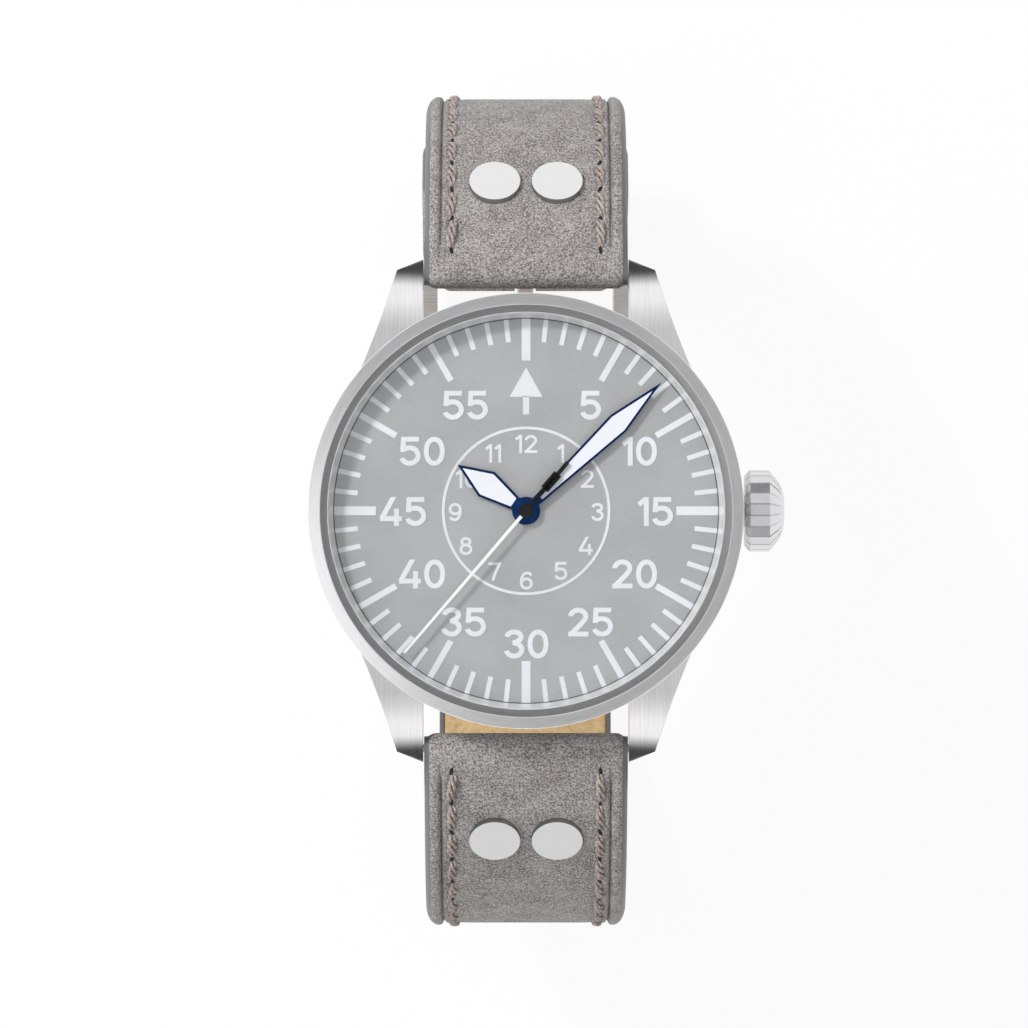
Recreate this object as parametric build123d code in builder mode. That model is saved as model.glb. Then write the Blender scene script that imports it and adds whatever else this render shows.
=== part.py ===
from build123d import *
import math
import os

# A pilot's wristwatch on a two-piece riveted leather strap, standing on its strap.
# Millimetres. X points to the crown, Y to twelve o'clock, Z up out of the dial.
# The origin lies under the dial's centre, on the surface that the strap stands on.

# Fits and cuts
cut_over = 2.0  # how far a cut runs past the solid that it cuts
running_gap = 0.03  # radial clearance of a shaft in its hole
side_gap = 0.1  # clearance between a moving piece's flat sides and its neighbour
roll_gap = 0.3  # clearance between a turning curved end and what it faces

# Sides of the pieces that are drawn with flats: hidden rings, and pins too small to look round
ring_sides = 48
flange_sides = 72
small_ring_sides = 24
rivet_sides = 32
pin_sides = 12
post_sides = 8

# Strap loop, side view
loop_upper_radius = 26.7  # outer surface from the lugs to the widest place
loop_lower_radius = 33.5  # outer surface from the widest place to the floor
loop_flat = 16.6  # length that lies flat on the floor
strap_end_thickness = 3.0  # at the lugs
strap_thickness = 2.6  # from the widest place on
lining_thickness = 0.9
leather_fold_angle = 9.0  # the leather folded round the bar ends this far from it
strap_side_play = 0.1  # between strap and lug, each side
strap_taper = 0.95  # each side, from the lugs to the far width
taper_high = 40.0  # the strap starts to narrow at this height
taper_low = 5.0  # and has its far width from here down
strap_tip_reach = 1.0  # long half's end past the flat
strap_tip_corner = 5.0  # radius of the long half's rounded corners
hole_count = 6
hole_pitch = 6.5
hole_radius = 0.8
hole_from_tip = 18.0

# Rivets
rivet_from_bar = 9.1
rivet_spacing = 6.1
rivet_head_radius = 2.55
rivet_head_thickness = 0.5
rivet_post_radius = 0.8
rivet_washer_radius = 1.7
rivet_washer_thickness = 0.4

# Lugs and spring bars
lug_gap = 20.0
bar_from_case = 2.8
bar_above_back = 3.29
lug_tip_past_bar = 1.35
lug_tip_slant = 1.05  # the tip's outer corner lies this much nearer to the case
lug_tip_width = 2.55
lug_waist_width = 4.5
lug_waist_before_bar = 5.6
lug_root_share = 0.4726  # of the case's radius, where the lug leaves its curve
lug_crown_before_bar = 4.6
lug_crown_drop = 0.45  # the lug's top lies this much under the shoulder there
lug_tip_drop = 3.4
lug_tip_face = 1.5  # height of the upright end face
lug_heel_past_bar = 0.1
bar_radius = 0.9
bar_wall = 0.22
bar_socket_depth = 2.4
bar_tip_radius = 0.4
bar_tip_reach = 0.75  # into the lug
bar_shoulder_radius = 0.62
bar_shoulder_length = 0.6
bar_shoulder_from_end = 0.35

# Case, from the back upwards, its widths outwards from the movement
holder_width = 3.8  # from the movement to the case
case_wall = 3.5
back_ledge = 2.3  # case wall left round the back
back_notch_count = 6
back_notch_length = 1.4
back_notch_width = 1.8
back_notch_depth = 0.4
back_notch_inset = 1.4  # notch centres, from the back's edge
case_lift = 0.9  # the back stands proud of the case by this much
back_seat_depth = 0.5
case_height = 5.9
case_edge_chamfer = 0.5
neck_height = 0.6
neck_step = 0.95  # case edge to neck
back_gasket_width = 0.55
back_gasket_height = 0.3

# Bezel, crystal and flange
bezel_overhang = 0.7  # past the case
bezel_fit = 0.05  # round the neck
bezel_height = 4.0
bezel_slope_height = 0.9
bezel_slope_width = 1.14
bezel_bevel_depth = 0.5
crystal_gasket_width = 0.3
crystal_edge = 1.35
crystal_rise = 1.1
crystal_knee_share = 0.65  # of the radius, where the dome's slope changes
crystal_gasket_height = 1.0
flange_width = 0.9
flange_height = 1.5
flange_lip = 0.35
dial_thickness = 0.4
dial_bore = 1.1

# Movement, from the dial downwards
movement_radius = 13.0
movement_drop = 0.05
motion_works_height = 0.9
plate_thickness = 1.15
train_height = 2.0
bridge_thickness = 0.8
ring_height = 3.85
ring_lip = 0.6
rotor_gap = 0.15
rotor_rim_height = 0.85
rotor_plate_thickness = 0.2
rotor_edge_gap = 0.6  # rotor to the movement's edge
rotor_rim_width = 2.2
rotor_hub_radius = 2.3
rotor_bearing_radius = 1.2
pivot_gap = 0.05  # end play of each arbor
pillar_radius = 0.8
pillar_angles = (20, 140, 262)
arbor_radius = 0.14
wheel_thickness = 0.15
pinion_height = 0.4
addendum_share = 0.7  # of the module
dedendum_share = 1.1

# Going train: places and radii as shares of the movement's radius, and teeth
barrel_distance_share = 0.4846
barrel_teeth = 72
barrel_tooth_height = 0.25
barrel_radius_share = 0.3769
barrel_height = 1.0
barrel_angle = 80.0
barrel_pocket_gap = 0.15
barrel_arbor_radius = 0.7
centre_pinion_leaves = 12
train_distance_share = 0.4154
centre_teeth = 64
third_leaves = 8
third_teeth = 60
fourth_leaves = 8
third_angle = 215.0
escape_distance_share = 0.3258
fourth_teeth = 70
escape_leaves = 7
escape_angle = 310.0
escape_teeth = 15
escape_radius_share = 0.1538
escape_rim = 0.45
escape_hook_share = 0.35  # of a tooth's pitch, how far each tip leans
seconds_arbor_radius = 0.15
centre_arbor_wall = 0.15

# Balance
balance_distance_share = 0.6846
balance_angle = 318.0
balance_radius_share = 0.3
balance_rim_width = 0.45
balance_rim_height = 0.25
balance_arm_width = 0.5
balance_hub_radius = 0.55
balance_level = 0.3  # above the bridge's face
fork_width = 0.35
fork_thickness = 0.15
fork_stone = 0.25
cock_width = 3.2
hairspring_turns = 4
hairspring_steps = 12  # corners in each turn
hairspring_inner = 0.75
hairspring_pitch = 0.35
hairspring_width = 0.1
hairspring_height = 0.12

# Motion works and hands
motion_distance_share = 0.2308  # of the movement's radius
motion_angle = 20.0
cannon_leaves = 12
minute_wheel_teeth = 36
minute_pinion_leaves = 12
hour_wheel_teeth = 48
cannon_wall = 0.16
hour_tube_wall = 0.18
hand_thickness = 0.15
hand_pitch = 0.4  # height from one hand to the next
hour_hand_lift = 0.35  # over the dial
hour_hand_angle = 303.9  # clockwise from twelve
hour_hand_share = 0.4324  # of the dial's opening
hour_hand_wide = 1.4  # half width
hour_hand_wide_share = 0.575  # of its length
hour_hand_neck = 0.4
minute_hand_angle = 46.5
minute_hand_share = 0.973
minute_hand_wide = 1.06
minute_hand_wide_share = 0.681
minute_hand_neck = 0.35
minute_hand_tip = 1.2  # solid point beyond the filling
hand_hub_radius = 1.35
hand_frame = 0.2
lume_start = 2.4
seconds_hand_angle = 220.65
seconds_hand_share = 0.9784
seconds_hand_root = 0.175  # half width
seconds_hand_end = 0.125
seconds_hub_radius = 0.7
seconds_tail_length = 6.15
seconds_tail_width = 0.4
seconds_block_length = 2.0
seconds_block_width = 0.85
seconds_block_at = 3.7

# Crown and winding work
stem_above_back = 4.9
crown_radius = 3.95
crown_gap = 0.9  # between case and crown
crown_band = 2.3
crown_length = 3.85
crown_chamfer = 0.45
crown_nose_radius = 0.95
crown_bulge = 0.45
crown_flutes = 22
crown_flute_depth = 0.35
crown_socket_depth = 1.6
crown_tube_radius = 1.2
crown_tube_inset = 0.8  # its inner end, from the case's bore
crown_tube_reach = 1.1  # past the crown's inner face
stem_radius = 0.45
stem_depth = 5.6  # into the movement
stem_groove_radius = 0.28
stem_groove_from_end = 2.8
stem_groove_length = 0.5
stem_thread = 0.6
clutch_radius = 0.95
clutch_length = 1.1
clutch_from_end = 0.8
winding_pinion_inset = 1.1  # from the movement's edge
winding_pinion_length = 0.7
winding_leaves = 12
stem_slot_half = 1.25
stem_slot_depth = 0.75
lever_thickness = 0.3
lever_length = 2.4
lever_width = 0.7
crown_gasket_width = 0.35
crown_gasket_length = 0.6

# Buckle and keepers
buckle_angle = 29.8  # of the bar on the lower arc, from straight down
buckle_drop_angle = 17.0  # the frame slopes this much below level
buckle_side_play = 0.2
buckle_arm = 2.1
buckle_length = 11.6  # bar to the far edge
buckle_heel = 1.9  # behind the bar
buckle_end_width = 2.4
buckle_thickness = 2.1
buckle_corner = 3.0
buckle_heel_corner = 0.9
buckle_bar_radius = 0.6
tang_width = 1.7
tang_thickness = 1.1
tang_eye_wall = 0.45
tang_slot_play = 0.25
tang_slot_length = 3.6
keeper_length = 5.0
keeper_wall = 1.1
keeper_play = 0.15
keeper_space = 3.1  # room for the other half's tail
keeper_side_play = 0.6
keeper_from_bar = 5.45  # fixed keeper, along the strap
keeper_spacing = 0.3

# Places worked out from the sizes above
case_bore = movement_radius + holder_width
case_radius = case_bore + case_wall
back_radius = case_radius - back_ledge
neck_radius = case_radius - neck_step
bezel_radius = case_radius + bezel_overhang
bezel_top_radius = bezel_radius - bezel_slope_width
bezel_bore = neck_radius + bezel_fit
crystal_radius = bezel_bore - crystal_gasket_width
flange_bore = bezel_bore - flange_width
dial_radius = bezel_bore - side_gap
bar_from_axis = case_radius + bar_from_case
rivet_from_axis = bar_from_axis + rivet_from_bar
lug_tip_from_axis = bar_from_axis + lug_tip_past_bar
lug_heel_from_axis = bar_from_axis + lug_heel_past_bar
lug_waist_from_axis = bar_from_axis - lug_waist_before_bar
lug_crown_from_axis = bar_from_axis - lug_crown_before_bar
lug_root_from_axis = case_radius * lug_root_share
lug_root_width = math.sqrt(case_radius**2 - lug_root_from_axis**2) - lug_gap / 2

loop_centre_z = loop_lower_radius
lower_centre_y = loop_flat / 2
upper_centre_y = lower_centre_y + loop_lower_radius - loop_upper_radius
strap_end_radius = strap_end_thickness / 2
bar_reach = loop_upper_radius - strap_end_radius
bar_angle = math.degrees(math.asin((bar_from_axis - upper_centre_y) / bar_reach))
bar_z = loop_centre_z + bar_reach * math.cos(math.radians(bar_angle))
strap_width = lug_gap - 2 * strap_side_play
strap_far_width = strap_width - 2 * strap_taper
buckle_inner_width = strap_far_width + 2 * buckle_side_play
widest_angle = 90.0
fold_end_angle = bar_angle + leather_fold_angle

back_z = bar_z - bar_above_back
case_low = back_z + case_lift
back_seat_z = case_low + back_seat_depth
shoulder_z = case_low + case_height
neck_top_z = shoulder_z + neck_height
dial_top_z = neck_top_z + dial_thickness
crystal_low_z = dial_top_z + flange_height
crystal_edge_z = crystal_low_z + crystal_edge
bezel_top_z = shoulder_z + bezel_height

movement_top_z = neck_top_z - movement_drop
plate_top_z = movement_top_z - motion_works_height
plate_low_z = plate_top_z - plate_thickness
bridge_top_z = plate_low_z - train_height
bridge_low_z = bridge_top_z - bridge_thickness
rotor_top_z = bridge_low_z - rotor_gap
rotor_low_z = rotor_top_z - rotor_rim_height
stem_z = back_z + stem_above_back
crown_start = case_radius + crown_gap
stem_inner_end = movement_radius - stem_depth
stem_groove_at = stem_inner_end + stem_groove_from_end

barrel_distance = movement_radius * barrel_distance_share
barrel_radius = movement_radius * barrel_radius_share
barrel_module = 2 * barrel_distance / (barrel_teeth + centre_pinion_leaves)
train_distance = movement_radius * train_distance_share
train_module = 2 * train_distance / (centre_teeth + third_leaves)
slow_train_module = 2 * train_distance / (third_teeth + fourth_leaves)
escape_distance = movement_radius * escape_distance_share
escape_radius = movement_radius * escape_radius_share
fourth_module = 2 * escape_distance / (fourth_teeth + escape_leaves)
balance_from_axis = movement_radius * balance_distance_share
balance_radius = movement_radius * balance_radius_share
motion_distance = movement_radius * motion_distance_share
rotor_radius = movement_radius - rotor_edge_gap
centre_bore = seconds_arbor_radius + running_gap
centre_arbor_radius = centre_bore + centre_arbor_wall
cannon_bore = centre_arbor_radius + running_gap
cannon_radius = cannon_bore + cannon_wall
hour_bore = cannon_radius + running_gap
hour_tube_radius = hour_bore + hour_tube_wall
cannon_module = 2 * motion_distance / (cannon_leaves + minute_wheel_teeth)
hour_module = 2 * motion_distance / (hour_wheel_teeth + minute_pinion_leaves)

fourth_wheel_z = bridge_top_z + 3 * wheel_thickness
fourth_pinion_z = fourth_wheel_z + wheel_thickness + pivot_gap
third_wheel_z = fourth_pinion_z + pivot_gap
centre_wheel_z = fourth_pinion_z + pinion_height + 2 * pivot_gap
centre_pinion_z = centre_wheel_z + wheel_thickness + pivot_gap
escape_wheel_z = third_wheel_z + wheel_thickness
hour_hand_z = dial_top_z + hour_hand_lift
minute_hand_z = hour_hand_z + hand_pitch
seconds_hand_z = minute_hand_z + hand_pitch
hour_hand_length = flange_bore * hour_hand_share
hour_hand_wide_at = hour_hand_length * hour_hand_wide_share
minute_hand_length = flange_bore * minute_hand_share
minute_hand_wide_at = minute_hand_length * minute_hand_wide_share
seconds_hand_length = flange_bore * seconds_hand_share


def polar(distance, angle):
    """A place on the movement, by its distance from the dial's axis and its angle from the crown."""
    turn = math.radians(angle)
    return (distance * math.cos(turn), distance * math.sin(turn))


barrel_at = polar(barrel_distance, barrel_angle)
third_at = polar(train_distance, third_angle)
escape_at = polar(escape_distance, escape_angle)
balance_at = polar(balance_from_axis, balance_angle)
minute_wheel_at = polar(motion_distance, motion_angle)


def disc(radius, low, high, centre=(0, 0), bore=0, mode=Mode.ADD):
    """An upright cylinder or ring between two heights."""
    with BuildSketch(Plane((centre[0], centre[1], low))) as face:
        Circle(radius)
        if bore > 0:
            Circle(bore, mode=Mode.SUBTRACT)
    extrude(face.sketch, amount=high - low, mode=mode)


def flats(sides, radius, low, high, centre=(0, 0), bore=0, mode=Mode.ADD):
    """An upright pin or ring with flat sides between two heights."""
    with BuildSketch(Plane((centre[0], centre[1], low))) as face:
        RegularPolygon(radius, sides)
        if bore > 0:
            RegularPolygon(bore, sides, mode=Mode.SUBTRACT)
    extrude(face.sketch, amount=high - low, mode=mode)


def wheel(teeth, module, low, high, centre=(0, 0), bore=0):
    """A wheel or pinion with pointed teeth, sized by its module."""
    pitch_radius = module * teeth / 2
    root = pitch_radius - dedendum_share * module
    tip = pitch_radius + addendum_share * module
    toothed(teeth, root, tip, low, high, centre, bore, 0)


def toothed(teeth, root, tip, low, high, centre, bore, lean_share):
    """A toothed disc: root and tip corners in turn, each tip leaning by a share of the pitch."""
    step = 2 * math.pi / teeth
    corners = []
    for tooth in range(teeth):
        corners.append((root * math.cos(tooth * step), root * math.sin(tooth * step)))
        turn = (tooth + 0.5 + lean_share) * step
        corners.append((tip * math.cos(turn), tip * math.sin(turn)))
    with BuildSketch(Plane((centre[0], centre[1], low))) as face:
        Polygon(*corners, align=None)
        if bore > 0:
            RegularPolygon(bore, pin_sides, mode=Mode.SUBTRACT)
    extrude(face.sketch, amount=high - low)


def turned(corners, mode=Mode.ADD):
    """A ring turned about the dial's axis from the corners of its section, (radius, height)."""
    with BuildSketch(Plane.XZ) as section:
        with BuildLine():
            Polyline(*corners, close=True)
        make_face()
    revolve(section.sketch, Axis.Z, mode=mode)


def on_stem(sides, radius, start, end, bore=0, mode=Mode.ADD):
    """A pin or tube on the stem's axis."""
    with BuildSketch(Plane((start, 0, stem_z), x_dir=(0, 1, 0), z_dir=(1, 0, 0))) as face:
        RegularPolygon(radius, sides)
        if bore > 0:
            RegularPolygon(bore, sides, mode=Mode.SUBTRACT)
    extrude(face.sketch, amount=end - start, mode=mode)


def finish(piece, name):
    """Names a finished piece and writes it."""
    piece.label = name
    export_step(piece, f"parts/{name}.step")


os.makedirs("parts", exist_ok=True)

# Case back: a screwed lid with notches for the opening key
with BuildPart() as case_back:
    turned(
        [
            (0, back_z),
            (back_radius - case_edge_chamfer, back_z),
            (back_radius, back_z + case_edge_chamfer),
            (back_radius, back_seat_z),
            (0, back_seat_z),
        ]
    )
    with BuildSketch(Plane.XY.offset(back_z)):
        with PolarLocations(back_radius - back_notch_inset, back_notch_count):
            Rectangle(back_notch_length, back_notch_width)
    extrude(amount=back_notch_depth, mode=Mode.SUBTRACT)
finish(case_back.part, "case_back")


def lug_side(half):
    """Side view of a lug, on the twelve o'clock side for half 1 and the six o'clock side for -1."""
    with BuildSketch(Plane.YZ) as side:
        with BuildLine():
            crown = (half * lug_crown_from_axis, shoulder_z - lug_crown_drop)
            tip_top = (half * lug_tip_from_axis, shoulder_z - lug_tip_drop)
            tip_low = (half * lug_tip_from_axis, shoulder_z - lug_tip_drop - lug_tip_face)
            ThreePointArc((half * lug_root_from_axis, shoulder_z), crown, tip_top)
            Line(tip_top, tip_low)
            Line(tip_low, (half * lug_heel_from_axis, case_low))
            Line((half * lug_heel_from_axis, case_low), (half * lug_root_from_axis, case_low))
            Line((half * lug_root_from_axis, case_low), (half * lug_root_from_axis, shoulder_z))
        make_face()
    return side.sketch


def lug_plan(half, hand):
    """Plan of a lug, on the crown side for hand 1 and the other side for -1."""
    inner = hand * lug_gap / 2
    with BuildSketch(Plane.XY.offset(case_low)) as plan:
        with BuildLine():
            tip_inner = (inner, half * lug_tip_from_axis)
            tip_outer = (inner + hand * lug_tip_width, half * (lug_tip_from_axis - lug_tip_slant))
            waist = (inner + hand * lug_waist_width, half * lug_waist_from_axis)
            root = (inner + hand * lug_root_width, half * lug_root_from_axis)
            Line(tip_inner, tip_outer)
            ThreePointArc(tip_outer, waist, root)
            Line(root, (inner, half * lug_root_from_axis))
            Line((inner, half * lug_root_from_axis), tip_inner)
        make_face()
    return plan.sketch


# Case body: the turned band, its neck for the bezel, and four lugs
with BuildPart() as case_body:
    for half in (1, -1):
        for hand in (1, -1):
            lug = extrude(lug_plan(half, hand), amount=case_height, mode=Mode.PRIVATE)
            profile = extrude(lug_side(half), amount=case_radius, both=True, mode=Mode.PRIVATE)
            add(lug & profile)
    disc(case_radius, case_low, shoulder_z)
    disc(neck_radius, shoulder_z, neck_top_z)
    flats(ring_sides, case_bore, case_low - cut_over, neck_top_z + cut_over, mode=Mode.SUBTRACT)
    recess_radius = (back_radius + running_gap) / math.cos(math.pi / ring_sides)
    flats(ring_sides, recess_radius, case_low - cut_over, back_seat_z, mode=Mode.SUBTRACT)
    on_stem(
        small_ring_sides,
        crown_tube_radius,
        case_bore - cut_over,
        case_radius + cut_over,
        mode=Mode.SUBTRACT,
    )
    for half in (1, -1):
        for hand in (1, -1):
            start = (hand * lug_gap / 2, half * bar_from_axis, bar_z)
            with BuildSketch(Plane(start, x_dir=(0, 1, 0), z_dir=(hand, 0, 0))):
                RegularPolygon(bar_tip_radius + running_gap, pin_sides)
            extrude(amount=bar_tip_reach + side_gap, mode=Mode.SUBTRACT)
finish(case_body.part, "case_body")

# Gasket in the corner between the case's bore and its back
with BuildPart() as case_back_gasket:
    flats(
        ring_sides,
        case_bore,
        back_seat_z,
        back_seat_z + back_gasket_height,
        bore=case_bore - back_gasket_width,
    )
finish(case_back_gasket.part, "case_back_gasket")

# Bezel: pushed over the neck, sloping brushed top, dark inner bevel
with BuildPart() as bezel:
    turned(
        [
            (bezel_bore, shoulder_z),
            (bezel_radius, shoulder_z),
            (bezel_radius, bezel_top_z - bezel_slope_height),
            (bezel_top_radius, bezel_top_z),
            (bezel_bore, bezel_top_z - bezel_bevel_depth),
        ]
    )
finish(bezel.part, "bezel")

# Crystal: flat underneath, its dome in two slopes
crystal_knee_radius = crystal_radius * crystal_knee_share
crystal_knee_z = crystal_edge_z + crystal_rise * (1 - crystal_knee_share**2)
with BuildPart() as crystal:
    turned(
        [
            (0, crystal_low_z),
            (crystal_radius, crystal_low_z),
            (crystal_radius, crystal_edge_z),
            (crystal_knee_radius, crystal_knee_z),
            (0, crystal_edge_z + crystal_rise),
        ]
    )
finish(crystal.part, "crystal")

# Gasket that holds the crystal in the bezel
with BuildPart() as crystal_gasket:
    flats(
        ring_sides,
        bezel_bore,
        crystal_low_z,
        crystal_low_z + crystal_gasket_height,
        bore=crystal_radius / math.cos(math.pi / ring_sides),
    )
finish(crystal_gasket.part, "crystal_gasket")

# Flange ring between dial and crystal, its wall leaning outwards
with BuildPart() as flange_ring:
    flats(flange_sides, bezel_bore - running_gap, dial_top_z, crystal_low_z)
    with BuildSketch(Plane.XY.offset(dial_top_z)) as foot:
        RegularPolygon(flange_bore, flange_sides)
    with BuildSketch(Plane.XY.offset(crystal_low_z)) as lip:
        RegularPolygon(flange_bore + flange_lip, flange_sides)
    loft([foot.sketch, lip.sketch], ruled=True, mode=Mode.SUBTRACT)
finish(flange_ring.part, "flange_ring")

# Dial
with BuildPart() as dial:
    flats(flange_sides, dial_radius, neck_top_z, dial_top_z)
    flats(small_ring_sides, dial_bore, neck_top_z - cut_over, dial_top_z + cut_over, mode=Mode.SUBTRACT)
finish(dial.part, "dial")

# Ring that centres the movement in the case, with the stem's hole
with BuildPart() as movement_ring:
    flats(
        ring_sides,
        case_bore - running_gap,
        movement_top_z - ring_height,
        movement_top_z,
        bore=movement_radius / math.cos(math.pi / ring_sides),
    )
    on_stem(
        pin_sides,
        stem_radius + ring_lip,
        movement_radius - cut_over,
        case_bore + cut_over,
        mode=Mode.SUBTRACT,
    )
finish(movement_ring.part, "movement_ring")

# Main plate: pocket for the barrel, slot for the stem, pillars for the bridge, post for the minute wheel
with BuildPart() as main_plate:
    flats(ring_sides, movement_radius, plate_low_z, plate_top_z)
    flats(
        pin_sides,
        centre_arbor_radius + running_gap,
        plate_low_z - cut_over,
        plate_top_z + cut_over,
        mode=Mode.SUBTRACT,
    )
    flats(
        small_ring_sides,
        barrel_radius + barrel_pocket_gap,
        plate_low_z - cut_over,
        centre_pinion_z + barrel_height + pivot_gap,
        centre=barrel_at,
        mode=Mode.SUBTRACT,
    )
    with BuildSketch(Plane.XY.offset(plate_low_z)):
        with Locations(((movement_radius + stem_inner_end) / 2 + cut_over / 2, 0)):
            Rectangle(movement_radius - stem_inner_end + cut_over, 2 * stem_slot_half)
    extrude(amount=stem_slot_depth, mode=Mode.SUBTRACT)
    flats(
        post_sides,
        arbor_radius,
        plate_top_z,
        movement_top_z - pivot_gap,
        centre=minute_wheel_at,
    )
    for angle in pillar_angles:
        pillar_at = polar(movement_radius - pillar_radius, angle)
        flats(pin_sides, pillar_radius, bridge_top_z, plate_low_z, centre=pillar_at)
finish(main_plate.part, "main_plate")

# Train bridge on the plate's pillars, cut away over the balance
with BuildPart() as train_bridge:
    flats(ring_sides, movement_radius, bridge_low_z, bridge_top_z)
    flats(
        small_ring_sides,
        balance_radius + roll_gap,
        bridge_low_z - cut_over,
        bridge_top_z + cut_over,
        centre=balance_at,
        mode=Mode.SUBTRACT,
    )
finish(train_bridge.part, "train_bridge")

# Balance cock: the arm over the balance, carried by the case wall side of the bridge
cock_end = polar(movement_radius - cock_width / 4, balance_angle)
with BuildPart() as balance_cock:
    with BuildSketch(Plane.XY.offset(bridge_low_z)):
        with Locations(balance_at):
            RegularPolygon(cock_width / 2, pin_sides)
        with Locations(Location(((balance_at[0] + cock_end[0]) / 2, (balance_at[1] + cock_end[1]) / 2), balance_angle)):
            Rectangle(movement_radius - cock_width / 4 - balance_from_axis, cock_width)
    extrude(amount=bridge_thickness / 2)
finish(balance_cock.part, "balance_cock")

# Rotor: thin half plate with a heavy rim, on the bearing at the centre
with BuildPart() as rotor:
    flats(ring_sides, rotor_radius, rotor_low_z, rotor_low_z + rotor_plate_thickness)
    flats(
        ring_sides,
        rotor_radius,
        rotor_low_z,
        rotor_low_z + rotor_rim_height,
        bore=rotor_radius - rotor_rim_width,
    )
    with BuildSketch(Plane.XY.offset(rotor_low_z - cut_over)):
        with Locations((0, rotor_radius)):
            Rectangle(2 * rotor_radius + cut_over, 2 * rotor_radius)
    extrude(amount=rotor_rim_height + 2 * cut_over, mode=Mode.SUBTRACT)
    flats(
        small_ring_sides,
        rotor_hub_radius,
        rotor_low_z,
        rotor_low_z + rotor_plate_thickness,
    )
    flats(
        small_ring_sides,
        rotor_bearing_radius + 2 * running_gap,
        rotor_low_z - cut_over,
        rotor_low_z + cut_over,
        mode=Mode.SUBTRACT,
    )
finish(rotor.part, "rotor")

# Bearing that carries the rotor under the bridge
with BuildPart() as rotor_bearing:
    flats(small_ring_sides, rotor_bearing_radius, rotor_low_z, bridge_low_z)
finish(rotor_bearing.part, "rotor_bearing")

# Mainspring barrel: toothed drum and its arbor
with BuildPart() as mainspring_barrel:
    wheel(
        barrel_teeth,
        barrel_module,
        centre_pinion_z,
        centre_pinion_z + barrel_tooth_height,
        centre=barrel_at,
    )
    flats(
        small_ring_sides,
        barrel_radius,
        centre_pinion_z,
        centre_pinion_z + barrel_height,
        centre=barrel_at,
    )
    flats(
        pin_sides,
        barrel_arbor_radius + running_gap,
        centre_pinion_z - cut_over,
        centre_pinion_z + barrel_height + cut_over,
        centre=barrel_at,
        mode=Mode.SUBTRACT,
    )
finish(mainspring_barrel.part, "mainspring_barrel")

with BuildPart() as barrel_arbor:
    flats(
        pin_sides,
        barrel_arbor_radius,
        bridge_top_z + pivot_gap,
        centre_pinion_z + barrel_height,
        centre=barrel_at,
    )
finish(barrel_arbor.part, "barrel_arbor")

# Centre wheel on its hollow arbor
with BuildPart() as centre_wheel:
    wheel(
        centre_teeth,
        train_module,
        centre_wheel_z,
        centre_wheel_z + wheel_thickness,
        bore=centre_bore,
    )
    wheel(
        centre_pinion_leaves,
        barrel_module,
        centre_wheel_z,
        centre_pinion_z + pinion_height,
        bore=centre_bore,
    )
    flats(pin_sides, centre_arbor_radius, centre_wheel_z, minute_hand_z - pivot_gap, bore=centre_bore)
finish(centre_wheel.part, "centre_wheel")

# Third wheel and pinion
with BuildPart() as third_wheel:
    wheel(
        third_teeth,
        slow_train_module,
        third_wheel_z,
        third_wheel_z + wheel_thickness,
        centre=third_at,
    )
    wheel(
        third_leaves,
        train_module,
        third_wheel_z,
        centre_wheel_z + wheel_thickness,
        centre=third_at,
    )
    flats(
        post_sides,
        arbor_radius,
        bridge_top_z + pivot_gap,
        plate_low_z - pivot_gap,
        centre=third_at,
    )
finish(third_wheel.part, "third_wheel")

# Fourth wheel, whose arbor runs up through the centre and carries the seconds hand
with BuildPart() as fourth_wheel:
    wheel(
        fourth_teeth,
        fourth_module,
        fourth_wheel_z,
        fourth_wheel_z + wheel_thickness,
    )
    wheel(
        fourth_leaves,
        slow_train_module,
        fourth_pinion_z,
        fourth_pinion_z + pinion_height,
    )
    flats(post_sides, seconds_arbor_radius, bridge_top_z + pivot_gap, seconds_hand_z)
finish(fourth_wheel.part, "fourth_wheel")

# Escape wheel and pinion
with BuildPart() as escape_wheel:
    toothed(
        escape_teeth,
        escape_radius - escape_rim,
        escape_radius,
        escape_wheel_z,
        escape_wheel_z + wheel_thickness,
        escape_at,
        0,
        escape_hook_share,
    )
    wheel(
        escape_leaves,
        fourth_module,
        fourth_wheel_z - pivot_gap,
        escape_wheel_z,
        centre=escape_at,
    )
    flats(
        post_sides,
        arbor_radius,
        bridge_top_z + pivot_gap,
        plate_low_z - pivot_gap,
        centre=escape_at,
    )
finish(escape_wheel.part, "escape_wheel")

# Pallet fork between the escape wheel and the balance, its arbor clear of the balance's arm
balance_z = bridge_top_z + balance_level
fork_line = Vector(balance_at[0] - escape_at[0], balance_at[1] - escape_at[1])
fork_span = fork_line.length - escape_radius - balance_hub_radius - 4 * side_gap
fork_pivot_from_escape = escape_radius + side_gap + fork_stone * 2
fork_plane = Plane(
    (escape_at[0], escape_at[1], escape_wheel_z),
    x_dir=(fork_line.X, fork_line.Y, 0),
    z_dir=(0, 0, 1),
)
with BuildPart() as pallet_fork:
    with BuildSketch(fork_plane):
        with BuildLine():
            anchor_half = escape_radius
            near = escape_radius + side_gap
            Polyline(
                (near + fork_stone, -anchor_half),
                (near + fork_stone + fork_width, -anchor_half),
                (near + fork_stone + fork_width * 2, -fork_width / 2),
                (near + fork_span, -fork_width / 2),
                (near + fork_span, fork_width / 2),
                (near + fork_stone + fork_width * 2, fork_width / 2),
                (near + fork_stone + fork_width, anchor_half),
                (near + fork_stone, anchor_half),
                (near + fork_stone, fork_stone),
                (near + fork_stone / 2, 0),
                (near + fork_stone, -fork_stone),
                close=True,
            )
        make_face()
    extrude(amount=fork_thickness)
    fork_pivot = fork_plane.from_local_coords((fork_pivot_from_escape, 0, 0))
    flats(
        post_sides,
        arbor_radius,
        balance_z + balance_rim_height + side_gap,
        plate_low_z - pivot_gap,
        centre=(fork_pivot.X, fork_pivot.Y),
    )
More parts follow.
